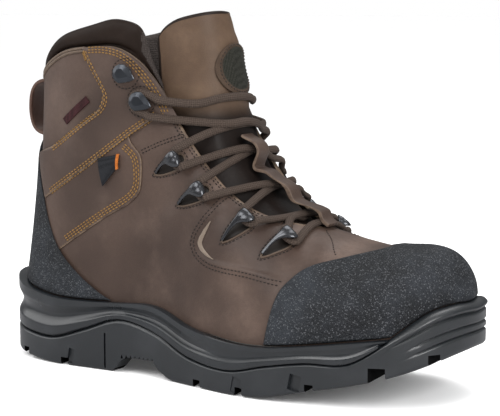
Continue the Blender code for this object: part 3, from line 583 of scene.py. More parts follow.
def knitted(name, colour, pale, pitch):
    """Knitted cloth: rows of small loops that stand out, paler on top."""
    look, tree, shader = finish(name, Roughness=0.95, Specular_IOR_Level=0.2)
    where = place_on(tree)
    rows = {"Vector": where, "Scale": 1 / (pitch * MM), "Randomness": 0.35}
    cells = node(tree, "ShaderNodeTexVoronoi", rows)
    loops = share(tree, cells.outputs["Distance"], 0.75, 0.15)
    patchy = sum_of(tree, loops, noise(tree, where, 60.0, 4.0), "MULTIPLY")
    tree.links.new(blend(tree, patchy, colour, pale), shader.inputs["Base Color"])
    raised = node(tree, "ShaderNodeBump", {"Height": loops, "Distance": 0.4 * MM, "Strength": 0.9})
    tree.links.new(raised.outputs["Normal"], shader.inputs["Normal"])
    return look


FOOTBED_DARK = (0.03, 0.028, 0.026, 1.0)
FOOTBED_PALE = (0.085, 0.08, 0.075, 1.0)
FOOTBED_PITCH = 1.4
insole_look = knitted("footbed_cover", FOOTBED_DARK, FOOTBED_PALE, FOOTBED_PITCH)
insole = new_object("footbed", subdivided(merged_copy("insole"), 2, SHARP, 0.7), insole_look)
dress(insole, "footbed_fabric", "insole")

# Upper
# Oiled brown leather, lasted over the foot and cemented into the sole, lined inside with mesh cloth.
# Vamp and quarters are one wall here; the quarter's cut edge stands up over the vamp along a curved seam.

WALL_THICK = 2.4
WALL_BEND = 1.0


def outer_wall(mesh):
    """Keeps only the outer face of a hollow wall, found by spreading from its outermost face."""
    start = min(mesh.faces, key=lambda face: face.calc_center_median().y)
    found, front = {start}, [start]
    while front:
        for edge in front.pop().edges:
            for face in edge.link_faces:
                if face not in found and edge.calc_face_angle(0.0) < WALL_BEND:
                    found.add(face)
                    front.append(face)
    bmesh.ops.delete(mesh, geom=[face for face in mesh.faces if face not in found], context="FACES")
    return mesh


FINE = 40


def smooth_line(points, step):
    """A curve through points, read at even steps along it."""
    points = np.array(points, float)
    fine = spline(np.arange(len(points)), points, np.linspace(0, len(points) - 1, FINE * len(points)))
    along = np.concatenate([[0.0], np.cumsum(np.linalg.norm(np.diff(fine, axis=0), axis=1))])
    places = np.linspace(0.0, along[-1], max(int(along[-1] / step), 2) + 1)
    return np.column_stack([np.interp(places, along, axis) for axis in fine.T])


def millimetres(mesh):
    """A mesh's corners, and the ways out at them, as arrays in millimetres from the heel."""
    mesh.normal_update()
    spots = np.array([vert.co for vert in mesh.verts])
    return (spots - np.array(HEEL)) / MM, np.array([vert.normal for vert in mesh.verts])


def nearest(spots, line):
    """How far each spot is from a line of points, and which point is nearest."""
    gaps = np.linalg.norm(spots[:, None, :] - line[None, :, :], axis=2)
    return gaps.min(axis=1), gaps.argmin(axis=1)


def shape(mesh, height):
    """Moves each corner out of its face by a height in millimetres."""
    for vert, high in zip(mesh.verts, height):
        vert.co += vert.normal * float(high) * MM
    mesh.normal_update()


def mark(mesh, name, amounts):
    """Gives each corner an amount under a name that materials read."""
    layer = mesh.verts.layers.float.get(name) or mesh.verts.layers.float.new(name)
    for vert, amount in zip(mesh.verts, amounts):
        vert[layer] = float(amount)


coarse_wall = outer_wall(merged_copy("upper"))

# A sliver left open on the toe's top is closed, and the wall eased where it turns down to the front
TOE_TURN = at(285.0, 8.0, 77.5)
TOE_EASED = 17.0
EASINGS = 6
SLIVER = 1.3
ALL_WAYS = {"use_axis_x": True, "use_axis_y": True, "use_axis_z": True}


def by_toe_turn(mesh):
    return [vert for vert in mesh.verts if (vert.co - TOE_TURN).length < TOE_EASED * MM]


left_open = [vert for vert in by_toe_turn(coarse_wall) if vert.is_boundary]
bmesh.ops.remove_doubles(coarse_wall, verts=left_open, dist=SLIVER * MM)
wall = subdivided(coarse_wall, 3)
turning = by_toe_turn(wall)
for _ in range(EASINGS):
    bmesh.ops.smooth_vert(wall, verts=turning, factor=0.5, **ALL_WAYS)
spots, _ = millimetres(wall)
wall_tree = BVHTree.FromBMesh(wall)
LOOK_FROM = 150.0


def cast(tree, x, z, side):
    """Where a look from the outer (-1) or inner (+1) side first meets a surface, and the way out there."""
    spot, out, _, _ = tree.ray_cast(at(x, side * LOOK_FROM, z), Vector((0.0, -side, 0.0)))
    return spot, out


def on_wall(points, side):
    """Side view points laid on the upper's wall, in millimetres."""
    found = [cast(wall_tree, x, z, side)[0] for x, z in points]
    return np.array([(spot - HEEL) / MM for spot in found if spot is not None])


# Soft creases, each a line in side view with its width and depth; a ridge has a depth below zero
Crease = namedtuple("Crease", "points width depth")
CREASES = (
    Crease(((30.0, 165.0), (34.0, 140.0), (38.0, 118.0)), 9.0, -0.8),
    Crease(((46.0, 168.0), (50.0, 140.0), (54.0, 122.0)), 9.0, 0.7),
    Crease(((112.0, 128.0), (122.0, 118.0), (128.0, 104.0)), 8.0, 0.9),
    Crease(((118.0, 100.0), (128.0, 84.0), (146.0, 72.0)), 11.0, 0.7),
    Crease(((132.0, 92.0), (140.0, 78.0), (156.0, 64.0)), 8.0, -0.6),
    Crease(((96.0, 84.0), (112.0, 70.0), (130.0, 58.0)), 12.0, 0.6),
    Crease(((176.0, 58.0), (190.0, 52.0), (200.0, 42.0)), 8.0, 0.5),
    Crease(((204.0, 84.0), (208.0, 76.0), (209.0, 68.0)), 6.0, 0.8),
    Crease(((217.0, 81.0), (220.0, 76.0), (221.0, 72.0)), 5.0, 0.7),
    Crease(((230.0, 82.0), (231.0, 79.0), (232.0, 76.0)), 5.0, 0.5),
)
CREASE_STEP = 3.0
PAST_MIDDLE = -2.0
height = np.zeros(len(spots))
for side in (-1.0, 1.0):
    half = spots[:, 1] * side > PAST_MIDDLE
    for crease in CREASES:
        line = on_wall(smooth_line(crease.points, CREASE_STEP), side)
        gap, _ = nearest(spots[half], line)
        height[half] -= crease.depth * bump_at(0.0, crease.width, gap)

# The quarter's edge over the vamp: raised behind the seam, dying away further back
CRESCENT = (
    (168.0, 107.0), (163.0, 99.5), (157.5, 92.5), (152.0, 83.0), (154.0, 77.0), (161.0, 73.0), (171.0, 71.0),
    (187.0, 69.5), (208.0, 66.0),
)
QUARTER_STEP = 1.1
QUARTER_SLOPE = 0.8
QUARTER_DIES = 12.0
QUARTER_ENDS = 8.0
OFF_MIDDLE = 4.0
for side in (-1.0, 1.0):
    half = np.flatnonzero(spots[:, 1] * side > OFF_MIDDLE)
    line = on_wall(smooth_line(CRESCENT, 1.0), side)
    gap, which = nearest(spots[half], line)
    ahead = np.gradient(line, axis=0)[which]
    offset = spots[half] - line[which]
    behind = ahead[:, 2] * offset[:, 0] - ahead[:, 0] * offset[:, 2] > 0
    signed = np.where(behind, gap, -gap)
    within = smooth_step(0.0, QUARTER_ENDS, np.minimum(which, len(line) - 1 - which))
    dying = np.exp(-np.maximum(signed, 0.0) / QUARTER_DIES)
    height[half] += QUARTER_STEP * smooth_step(-QUARTER_SLOPE, QUARTER_SLOPE, signed) * dying * within

# The toe is full above the bumper
TOE_FULL = 2.0
TOE_FULL_AHEAD = (246.0, 276.0)
TOE_FULL_ABOVE = (44.0, 64.0)
height += TOE_FULL * smooth_step(*TOE_FULL_AHEAD, spots[:, 0]) * smooth_step(*TOE_FULL_ABOVE, spots[:, 2])
shape(wall, height)
wall_tree = BVHTree.FromBMesh(wall)

# Spots painted paler, or darker with an amount below zero, each round in side view: those beside the rings are
# the facing's paler leather, the others paint highlights of sheen and, below zero, shade
LightAndFacingSpot = namedtuple("LightAndFacingSpot", "x z wide amount")
LIGHT_AND_FACING_SPOTS = [LightAndFacingSpot(*row) for row in (
    (45.0, 163.0, 9.0, 0.40), (127.0, 104.0, 14.0, 0.35), (179.0, 61.0, 11.0, 0.45),
    (193.0, 40.0, 12.0, 0.35), (234.0, 82.0, 9.0, 0.80), (124.0, 45.0, 14.0, 0.20),
    (88.0, 155.0, 13.0, -0.60), (70.0, 109.0, 15.0, -0.50), (99.0, 58.0, 16.0, -0.25),
    (193.0, 80.0, 8.0, -0.75), (141.0, 132.0, 6.0, 1.10), (158.0, 115.0, 6.0, 1.10),
    (183.0, 97.0, 5.0, 0.60), (203.0, 88.0, 5.0, 1.00),
)]
light_and_facing_amounts = np.zeros(len(spots))
for light_and_facing_spot in LIGHT_AND_FACING_SPOTS:
    light_and_facing_amounts += light_and_facing_spot.amount * bump_at(0.0, light_and_facing_spot.wide, np.hypot(spots[:, 0] - light_and_facing_spot.x, spots[:, 2] - light_and_facing_spot.z))
# The spots are stored under rubbed for the leather to read: paler facing, painted highlights and painted shade
mark(wall, "rubbed", light_and_facing_amounts)


def group_of(name, inputs, outputs):
    """An empty shader group with named sockets, and its ends."""
    made = bpy.data.node_groups.new(name, "ShaderNodeTree")
    for label, kind in inputs.items():
        made.interface.new_socket(label, in_out="INPUT", socket_type="NodeSocket" + kind)
    for label, kind in outputs.items():
        made.interface.new_socket(label, in_out="OUTPUT", socket_type="NodeSocket" + kind)
    return made, node(made, "NodeGroupInput").outputs, node(made, "NodeGroupOutput").inputs


hide, given, put = group_of(
    "oiled_hide", {"Dark": "Color", "Mid": "Color", "Pale": "Color"},
    {"Color": "Color", "Roughness": "Float", "Height": "Float"},
)
where = place_on(hide)
broad = share(hide, noise(hide, where, 15.0, 3.0, 0.5), 0.36, 0.64)
rubbed = share(hide, noise(hide, where, 42.0, 6.0, 0.62), 0.40, 0.80)
fine = noise(hide, where, 380.0, 5.0, 0.6)
colour = blend(hide, broad, given["Dark"], given["Mid"])
# Spots listed on the upper: paler facing leather, painted highlights, and below zero painted shade
facing_and_painted_light = node(hide, "ShaderNodeAttribute", attribute_name="rubbed").outputs["Fac"]
colour = blend(hide, sum_of(hide, sum_of(hide, rubbed, 0.50, "MULTIPLY"), facing_and_painted_light), colour, given["Pale"])
colour = blend(hide, sum_of(hide, facing_and_painted_light, -1.0, "MULTIPLY"), colour, given["Dark"])
speck = share(hide, fine, 0.30, 0.70)
colour = blend(hide, sum_of(hide, speck, 0.22, "MULTIPLY"), colour, given["Dark"])
hide.links.new(colour, put["Color"])
limits = {"From Max": 2.0, "To Min": 0.40, "To Max": 0.66}
dull = node(hide, "ShaderNodeMapRange", {"Value": sum_of(hide, rubbed, fine), **limits})
hide.links.new(dull.outputs["Result"], put["Roughness"])
pores = node(hide, "ShaderNodeTexVoronoi", {"Vector": where, "Scale": 1150.0}, feature="SMOOTH_F1")
grain = sum_of(hide, pores.outputs["Distance"], sum_of(hide, fine, 1.4, "MULTIPLY"))
hide.links.new(grain, put["Height"])

worn_edge, given, put = group_of(
    "worn_edge", {"Color": "Color", "Edge": "Color"}, {"Color": "Color"},
)
near_edge = node(worn_edge, "ShaderNodeAttribute", attribute_name="edge").outputs["Fac"]
patchy = share(worn_edge, noise(worn_edge, place_on(worn_edge), 220.0, 4.0), 0.25, 0.65)
worn = sum_of(worn_edge, near_edge, patchy, "MULTIPLY")
worn_edge.links.new(blend(worn_edge, worn, given["Color"], given["Edge"]), put["Color"])


GRAIN_STRENGTH = 0.6


def leather(name, dark, mid, pale, edge, grain_depth=0.10, gloss=0.24):
    """Oiled leather: mottled colour, rubbed pale patches, fine pores, and a paler worn edge; on the upper also
    its spots of paler facing and of painted highlights and shade.
    """
    look, tree, shader = finish(name, Specular_IOR_Level=gloss)
    skin = node(tree, "ShaderNodeGroup", node_tree=hide)
    for key, value in (("Dark", dark), ("Mid", mid), ("Pale", pale)):
        skin.inputs[key].default_value = (*value, 1.0)
    worn = node(tree, "ShaderNodeGroup", node_tree=worn_edge)
    worn.inputs["Edge"].default_value = (*edge, 1.0)
    tree.links.new(skin.outputs["Color"], worn.inputs["Color"])
    tree.links.new(worn.outputs["Color"], shader.inputs["Base Color"])
    tree.links.new(skin.outputs["Roughness"], shader.inputs["Roughness"])
    grain = {"Height": skin.outputs["Height"], "Distance": grain_depth * MM, "Strength": GRAIN_STRENGTH}
    bump = node(tree, "ShaderNodeBump", grain)
    tree.links.new(bump.outputs["Normal"], shader.inputs["Normal"])
    return look


HIDE_DARK = (0.035, 0.0220, 0.0170)
HIDE_MID = (0.057, 0.0365, 0.0280)
HIDE_PALE = (0.098, 0.0655, 0.0510)
HIDE_EDGE = (0.17, 0.12, 0.08)
upper_look = leather("brown_leather", HIDE_DARK, HIDE_MID, HIDE_PALE, HIDE_EDGE)
RAW_DARK = (0.10, 0.07, 0.05)
RAW_MID = (0.17, 0.125, 0.09)
RAW_PALE = (0.24, 0.18, 0.13)
raw_edge_look = leather("raw_leather_edge", RAW_DARK, RAW_MID, RAW_PALE, HIDE_EDGE)
LINING_DARK = (0.024, 0.0190, 0.0170, 1.0)
LINING_PALE = (0.070, 0.0570, 0.0520, 1.0)
LINING_PITCH = 1.1
lining_look = knitted("grey_brown_lining", LINING_DARK, LINING_PALE, LINING_PITCH)

# A raw pale border along the throat; the panels are cut from a wall without it
wall.verts.layers.float.new("edge")
plain_wall = wall.copy()
THROAT = ((100.0, 84.0), (215.0, 150.0))
FACING_PALE = 0.65
FACING_WIDE = (1.2, 3.2)
spots, _ = millimetres(wall)
at_rim = np.array([vert.is_boundary for vert in wall.verts])
at_rim &= ((spots[:, (0, 2)] > THROAT[0]) & (spots[:, (0, 2)] < THROAT[1])).all(axis=1)
from_rim, _ = nearest(spots, spots[at_rim])
mark(wall, "edge", FACING_PALE * (1 - smooth_step(*FACING_WIDE, from_rim)))
upper = new_object("leather_upper", wall, upper_look, lining_look, raw_edge_look)
thickness = upper.modifiers.new("thickness", "SOLIDIFY")
thickness.thickness = WALL_THICK * MM
thickness.offset = -1.0
thickness.material_offset = 1
thickness.material_offset_rim = 2
dress(upper, "brown_leather", "upper")

# Panels over the upper
# Ankle and side panels of the same leather, cut to shape and sewn on; the ankle panel carries the hooks and
# laps over the side panel. Each is a piece of the wall inside an outline, with its edge rounded off.


def inside(points, outline):
    """Which side view points lie inside a closed outline."""
    x, z = points[:, 0][:, None], points[:, 1][:, None]
    x0, z0 = outline.T
    x1, z1 = np.roll(outline, -1, axis=0).T
    crosses = (z0 > z) != (z1 > z)
    where = x0 + (z - z0) * (x1 - x0) / np.where(z1 == z0, 1e-9, z1 - z0)
    return (crosses & (x < where)).sum(axis=1) % 2 == 1


def flat(places):
    """Side view millimetres of places in the frame."""
    return ((np.array(places) - np.array(HEEL)) / MM)[:, (0, 2)]


def depth_in(points, outline):
    """How far side view points lie inside a closed outline; below zero is outside."""
    start = outline[None, :, :]
    way = np.roll(outline, -1, axis=0)[None, :, :] - start
    offset = points[:, None, :] - start
    along = np.clip((offset * way).sum(axis=2) / np.maximum((way ** 2).sum(axis=2), 1e-9), 0.0, 1.0)
    gap = np.linalg.norm(offset - along[:, :, None] * way, axis=2).min(axis=1)
    return np.where(inside(points, outline), gap, -gap)


NEAR_EDGE = 2.5
TRIM_MERGED = 0.2


def trim(mesh, outline):
    """Cuts the mesh along a closed side view outline: corners beside it move onto it, the outside goes."""
    faces = list(mesh.faces)
    far = np.abs(depth_in(flat([face.calc_center_median() for face in faces]), outline))
    near = [face for face, gap in zip(faces, far) if gap < NEAR_EDGE]
    edges = list({edge for face in near for edge in face.edges})
    bmesh.ops.subdivide_edges(mesh, edges=edges, cuts=1, use_grid_fill=True)
    bmesh.ops.triangulate(mesh, faces=mesh.faces)
    verts = list(mesh.verts)
    depth = dict(zip(verts, depth_in(flat([vert.co for vert in verts]), outline)))
    moves = {}
    for edge in mesh.edges:
        mover, other = edge.verts
        if depth[mover] * depth[other] < 0:
            part = depth[mover] / (depth[mover] - depth[other])
            if part > 0.5:
                mover, other, part = other, mover, 1 - part
            if part < moves.get(mover, (1.0, None))[0]:
                moves[mover] = (part, mover.co.lerp(other.co, part))
    for vert, (_, spot) in moves.items():
        vert.co = spot
        depth[vert] = 0.0
    outside = [face for face in mesh.faces if sum(depth[vert] for vert in face.verts) <= 0]
    bmesh.ops.delete(mesh, geom=outside, context="FACES")
    bmesh.ops.remove_doubles(mesh, verts=mesh.verts, dist=TRIM_MERGED * MM)


AROUND = 5.0
EDGE_DROP = 0.45
Layer = namedtuple("Layer", "low high edge")


def overlay(name, outlines, side, layer, look):
    """A panel cut from the wall, from a low to a high face over it, with a rounded edge."""
    low, high, edge = layer
    mesh = plain_wall.copy()
    faces = list(mesh.faces)
    middles = np.array([face.calc_center_median() for face in faces])
    seen = flat(middles)
    away = (seen < outlines[0].min(axis=0) - AROUND) | (seen > outlines[0].max(axis=0) + AROUND)
    away = away.any(axis=1)
    away |= (middles[:, 1] - HEEL.y) * side < 0
    bmesh.ops.delete(mesh, geom=[face for face, is_away in zip(faces, away) if is_away], context="FACES")
    for outline in outlines:
        trim(mesh, outline)
    mesh.normal_update()
    seen = flat([vert.co for vert in mesh.verts])
    depth = np.min([depth_in(seen, outline) for outline in outlines], axis=0)
    near = np.clip(1 - depth / edge, 0.0, 1.0)
    mark(mesh, "edge", near)
    shape(mesh, high - EDGE_DROP * (high - low) * near ** 2)
    made = new_object(name, mesh, look)
    thickness = made.modifiers.new("thickness", "SOLIDIFY")
    thickness.thickness = (high - low) * MM
    thickness.offset = -1.0
    return made


SIDES = (("outer", -1.0), ("inner", 1.0))
ANKLE_LOWER = (
    (36.8, 99.0), (60.0, 112.5), (83.0, 127.0), (117.0, 149.5), (125.0, 151.0), (134.0, 148.0),
    (156.0, 139.0),
)
ANKLE_UPPER = (
    (66.0, 202.0), (69.5, 190.0), (79.5, 174.0), (84.0, 166.0), (83.5, 158.0), (77.0, 151.0), (62.0, 141.5),
    (47.0, 132.5), (29.5, 126.0),
)
ABOVE_COLLAR = ((160.0, 210.0), (66.0, 210.0))
CUT_STEP = 2.0
lower_cut = smooth_line(ANKLE_LOWER, CUT_STEP)
ANKLE_PANEL = np.vstack([lower_cut, ABOVE_COLLAR, smooth_line(ANKLE_UPPER, CUT_STEP)])
ANKLE_LAYER = Layer(1.0, 2.1, 0.8)
SIDE_EDGE = (
    (101.0, 141.0), (103.0, 136.0), (109.0, 128.0), (110.2, 117.0), (108.8, 107.5), (102.0, 100.3),
    (85.5, 91.3), (67.5, 80.2), (42.0, 64.0),
)
UNDER_ANKLE_PANEL = ((30.0, 104.0), (60.0, 118.0), (83.0, 132.0))
SIDE_PANEL = np.vstack([smooth_line(SIDE_EDGE, CUT_STEP), UNDER_ANKLE_PANEL])
SIDE_LAYER = Layer(0.05, 1.0, 0.7)
PANEL_MID = (0.056, 0.0365, 0.0285)
PANEL_PALE = (0.092, 0.0630, 0.0500)
panel_look = leather("panel_leather", HIDE_DARK, PANEL_MID, PANEL_PALE, HIDE_EDGE)
for name, side in SIDES:
    side_panel = overlay(f"side_panel_{name}", [SIDE_PANEL], side, SIDE_LAYER, upper_look)
    dress(side_panel, "brown_leather")
    ankle_panel = overlay(f"ankle_panel_leather_{name}", [ANKLE_PANEL], side, ANKLE_LAYER, panel_look)
    dress(ankle_panel, "panel_leather", f"ankle_panel_{name}")

# Toe cap and heel counter
# A hard rough coating over toe and heel against scuffs: black rubber full of grit, with a few glints of its
# grains painted on as bright specks.
# It is moulded on over the leather and ends just above the sole's lip.

ABOVE_LIP = 0.6
to_toe = slice(TOE * PLACES_PER_STATION + 1)
foot_line = np.column_stack([sole_ring(inset, 0.0)[to_toe, 0], np.maximum(lip, seam)[to_toe] + ABOVE_LIP])
BEHIND = ((-20.0, 240.0), (-20.0, foot_line[0, 1]))
BEFORE = ((330.0, foot_line[-1, 1]), (330.0, 240.0))
ABOVE_SOLE = np.vstack([BEHIND, foot_line[::2], BEFORE])
CAP_EDGE = (
    (202.0, 16.0), (203.6, 31.6), (208.0, 56.0), (214.0, 65.5), (222.0, 72.0), (239.0, 77.0), (259.0, 83.0),
    (266.0, 95.0),
)
TOE_CAP = np.vstack([smooth_line(CAP_EDGE, CUT_STEP), ((330.0, 95.0), (330.0, 16.0))])
CAP_LAYER = Layer(0.5, 2.1, 1.0)
COUNTER_EDGE = (
    (100.0, 30.0), (90.0, 41.0), (79.5, 46.5), (65.0, 56.0), (51.0, 69.0), (42.0, 84.0), (35.0, 103.0),
    (27.0, 127.0), (20.0, 142.0),
)
COUNTER = np.vstack([smooth_line(COUNTER_EDGE, CUT_STEP), ((-10.0, 142.0), (-10.0, 30.0))])
COUNTER_LAYER = Layer(1.05, 2.3, 1.0)
BOTH_SIDES = 0.0
GRIT_DARK = (0.0045, 0.0055, 0.0071, 1.0)
GRIT_DUSTY = (0.0176, 0.0205, 0.0255, 1.0)
GRIT_EDGE = (0.010, 0.011, 0.013, 1.0)
GRIT_GLINT = (0.065, 0.068, 0.073, 1.0)
grit_look, tree, shader = finish("grit_rubber", Specular_IOR_Level=0.28)
where = place_on(tree)
cloud = share(tree, noise(tree, where, 26.0, 6.0, 0.65), 0.36, 0.68)
colour = blend(tree, cloud, GRIT_DARK, GRIT_DUSTY)
grains = node(tree, "ShaderNodeTexVoronoi", {"Vector": where, "Scale": 1200.0})
pick = node(tree, "ShaderNodeSeparateColor", {"Color": grains.outputs["Color"]}).outputs["Red"]
core = share(tree, grains.outputs["Distance"], 0.60, 0.25)
# Bright specks on some grains: painted glints
sparkle = sum_of(tree, share(tree, pick, 0.45, 1.0), core, "MULTIPLY")
colour = blend(tree, sparkle, colour, GRIT_GLINT)
worn = node(tree, "ShaderNodeGroup", {"Color": colour, "Edge": GRIT_EDGE}, node_tree=worn_edge)
tree.links.new(worn.outputs["Color"], shader.inputs["Base Color"])
tree.links.new(sum_of(tree, 0.62, sum_of(tree, cloud, 0.2, "MULTIPLY")), shader.inputs["Roughness"])
domed = sum_of(tree, grains.outputs["Distance"], -0.5, "MULTIPLY")
rough = sum_of(tree, noise(tree, where, 620.0, 4.0, 0.65), domed)
bump = node(tree, "ShaderNodeBump", {"Height": rough, "Distance": 0.9 * MM, "Strength": 0.9})
tree.links.new(bump.outputs["Normal"], shader.inputs["Normal"])
toe_cap = overlay("toe_cap_coating", [TOE_CAP, ABOVE_SOLE], BOTH_SIDES, CAP_LAYER, grit_look)
dress(toe_cap, "cap_rubber", "toe_cap")
counter = overlay("heel_counter_coating", [COUNTER, ABOVE_SOLE], BOTH_SIDES, COUNTER_LAYER, grit_look)
dress(counter, "cap_rubber", "heel_counter")

# Collar
# A padded band round the top of the shaft: smooth dark leather outside, mesh cloth inside and down its front.
# It is sewn inside the upper, whose own edge is turned over in a double bead behind.

COLLAR_MIDDLE = Vector((84.0, 0.0, 0.0))
FRONT_RIM = 108.0
FRONT_FACING = 0.25
INWARD_FACING = 0.3
FULL_SIDE = (-2.0, 8.0)
COLLAR_DARK = (0.0080, 0.0049, 0.0037)
COLLAR_MID = (0.0125, 0.0080, 0.0061)
COLLAR_PALE = (0.0225, 0.0148, 0.0113)
collar_look = leather("collar_leather", COLLAR_DARK, COLLAR_MID, COLLAR_PALE, COLLAR_PALE, 0.06, 0.08)

# Where the padding is fullest: the front and the back shoulder of each side
Full = namedtuple("Full", "side x z wide along up")
COLLAR_FULL = [Full(*row) for row in (
    (-1.0, 107.0, 199.0, 12.0, 2.2, 3.2), (1.0, 118.0, 198.0, 12.0, 2.2, 3.2),
    (-1.0, 48.0, 193.0, 16.0, -1.4, 1.8), (1.0, 48.0, 193.0, 16.0, -1.4, 1.8),
)]
mesh = subdivided(merged_copy("collar"), 3)
spots, _ = millimetres(mesh)
for full in COLLAR_FULL:
    puff = bump_at(0.0, full.wide, np.hypot(spots[:, 0] - full.x, spots[:, 2] - full.z))
    puff *= smooth_step(*FULL_SIDE, spots[:, 1] * full.side)
    for vert, amount in zip(mesh.verts, puff):
        vert.co += Vector((full.along, 0.0, full.up)) * float(amount) * MM
mesh.normal_update()
for face in mesh.faces:
    middle = (face.calc_center_median() - HEEL) / MM
    inward = (COLLAR_MIDDLE - Vector((middle.x, middle.y, 0.0))).normalized()
    at_front = middle.x > FRONT_RIM and face.normal.x > FRONT_FACING
    face.material_index = int(at_front or face.normal.dot(inward) > INWARD_FACING)
collar = new_object("padded_collar", mesh, collar_look, lining_look)
dress(collar, "collar_leather", "collar")


def border_loops(mesh):
    """The open borders of a mesh, each as its corners in order."""
    left = {edge for edge in mesh.edges if edge.is_boundary}
    loops = []
    while left:
        edge = left.pop()
        start, vert = edge.verts
        loop = [start]
        while vert is not start:
            loop.append(vert)
            edge = next(edge for edge in vert.link_edges if edge in left)
            left.discard(edge)
            vert = edge.other_vert(vert)
        loops.append(loop)
    return loops


def unit(ways):
    return ways / np.maximum(np.linalg.norm(ways, axis=-1, keepdims=True), 1e-9)


def closed_loft(rings):
    """A solid through rings of points, closed at both ends; gives the mesh and its rows."""
    mesh, rows = loft(rings)
    for end in (rows[0], rows[-1]):
        bmesh.ops.contextual_create(mesh, geom=end)
    bmesh.ops.recalc_face_normals(mesh, faces=mesh.faces)
    return mesh, rows


def tube(path, ups, wide, thick, sides=8):
    """A closed bar of oval section along points, its flat side facing `ups`; gives the mesh and its rows."""
    ways = unit(np.gradient(path, axis=0))
    ups = unit(ups - (ups * ways).sum(axis=1)[:, None] * ways)
    across = np.cross(ways, ups)
    turns = 2 * np.pi * np.arange(sides) / sides - np.pi / 2
    wider = np.cos(turns)[None, :, None] * across[:, None, :] * wide / 2
    higher = np.sin(turns)[None, :, None] * ups[:, None, :] * thick / 2
    return closed_loft(path[:, None, :] + wider + higher)


def joined(meshes):
    """Several meshes as one."""
    made = bmesh.new()
    for mesh in meshes:
        data = bpy.data.meshes.new("joining")
        mesh.to_mesh(data)
        mesh.free()
        made.from_mesh(data)
        bpy.data.meshes.remove(data)
    return made


BEAD = 1.7
BEAD_FRONT = 71.0
BEAD_OUT = 0.25
BEAD_ROWS = (0.2, 1.8)
DOWN_AND_BACK = np.array((-0.6, 0.0, -0.8))
plain_wall.normal_update()
rim = max(border_loops(plain_wall), key=lambda loop: sum(vert.co.z for vert in loop) / len(loop))
back_most = min(range(len(rim)), key=lambda i: rim[i].co.x)
rim = rim[back_most:] + rim[:back_most]
rim_spots = np.array([(vert.co - HEEL) / MM for vert in rim])
rim_outs = np.array([vert.normal for vert in rim])
rim_ahead = unit(np.roll(rim_spots, -1, axis=0) - np.roll(rim_spots, 1, axis=0))
rim_down = np.cross(rim_outs, rim_ahead)
rim_down *= np.sign(rim_down @ DOWN_AND_BACK)[:, None]
at_back = np.roll(rim_spots[:, 0] < BEAD_FRONT, len(rim) // 2)
order = np.roll(np.arange(len(rim)), len(rim) // 2)[at_back]
beads = []
for down in BEAD_ROWS:
    path = rim_spots[order] + rim_outs[order] * BEAD_OUT + rim_down[order] * down
    beads.append(tube(path, rim_outs[order], BEAD, BEAD)[0])
TURNED_DARK = (0.060, 0.040, 0.028)
TURNED_MID = (0.080, 0.056, 0.040)
TURNED_PALE = (0.12, 0.088, 0.064)
bead_look = leather("turned_edge", TURNED_DARK, TURNED_MID, TURNED_PALE, HIDE_EDGE)
binding = new_object("collar_edge_beads", joined(beads), bead_look)
dress(binding, "brown_leather")

# Tongue
# A padded leather tongue that fills the throat: warm and rubbed pale above, dark under the laces, where its
# darker tones are plain leather with the laces' shade painted in.
# Its top and sides are bound with dark leather, and it folds a little under the upper laces.

Tongue = namedtuple("Tongue", "x y z edge_x edge_z outer inner forward")
TONGUE = np.array([Tongue(*row) for row in (
    (214.0, 5.0, 81.0, 210.0, 72.0, 20.0, 26.0, 0.0),
    (199.0, 4.0, 90.5, 188.0, 79.0, 30.0, 34.0, 3.0),
    (186.0, 3.0, 99.0, 172.0, 86.0, 33.0, 36.0, 5.0),
    (172.0, 1.0, 112.0, 155.0, 97.0, 33.0, 35.0, 8.0),
    (161.0, -2.0, 131.0, 136.0, 115.0, 32.0, 34.0, 11.0),
    (156.5, -4.0, 154.0, 122.0, 142.0, 28.0, 30.0, 13.0),
    (152.5, -4.0, 177.0, 116.0, 166.0, 24.0, 25.0, 12.0),
    (149.0, -4.0, 196.0, 114.0, 189.0, 22.5, 23.0, 11.0),
    (144.5, -4.0, 211.5, 112.0, 203.0, 21.0, 21.5, 9.0),
)])
SQUARE = 0.95


def tongue_at(row, turn):
    """A point of the tongue's face at a place among its rows, turned to a side, and the way out there."""
    t = Tongue(*spline(np.arange(len(TONGUE)), TONGUE, [row])[0])
    left = np.array((t.edge_x, -t.outer, t.edge_z))
    right = np.array((t.edge_x + t.forward, t.inner, t.edge_z))
    middle = (left + right) / 2
    to_front = np.array((t.x, t.y, t.z)) - middle
    to_side = (right - left) / 2
    swing = np.sign(turn) * np.abs(np.sin(turn)) ** SQUARE
    reach = np.cos(turn) ** SQUARE
    out = unit(reach * to_front / (to_front @ to_front) + swing * to_side / (to_side @ to_side))
    return middle + reach * to_front + swing * to_side, out


BINDING_ENDS = (0.9, 1.7)
BINDING_HIGH = 0.35
BOUND_ABOVE = 146.0
FAR_INSIDE = 99.0
TONGUE_FRONT = (0.0, 0.5)
WARM_ABOVE = (148.0, 161.0)
CORNER_LONG = 17.0
CORNER_HIGH = 9.5
CORNER_REACH = 30.0
TONGUE_FOLDS = ((154.0, 5.0, 1.6), (140.0, 4.0, 0.8), (200.0, 4.0, 0.5), (186.0, 16.0, -0.8))
mesh = subdivided(merged_copy("tongue"), 3, SHARP, 0.6)
spots, ways_out = millimetres(mesh)
tongue_rows = Tongue(*TONGUE.T)
tongue_top = Tongue(*TONGUE[-1])
edge_x = np.interp(spots[:, 2], tongue_rows.edge_z, tongue_rows.edge_x)
edge_x += tongue_top.forward * (spots[:, 1] > 0)
from_side = np.where(spots[:, 2] > BOUND_ABOVE, spots[:, 0] - edge_x, FAR_INSIDE)
top_z = np.interp(spots[:, 0], (tongue_top.edge_x, tongue_top.x), (tongue_top.edge_z, tongue_top.z))
bound = 1 - smooth_step(*BINDING_ENDS, np.minimum(top_z - spots[:, 2], from_side))
outward = smooth_step(*TONGUE_FRONT, ways_out[:, 0])
height = BINDING_HIGH * bound
past_corner = np.clip(1 - from_side / CORNER_LONG, 0.0, 1.0)
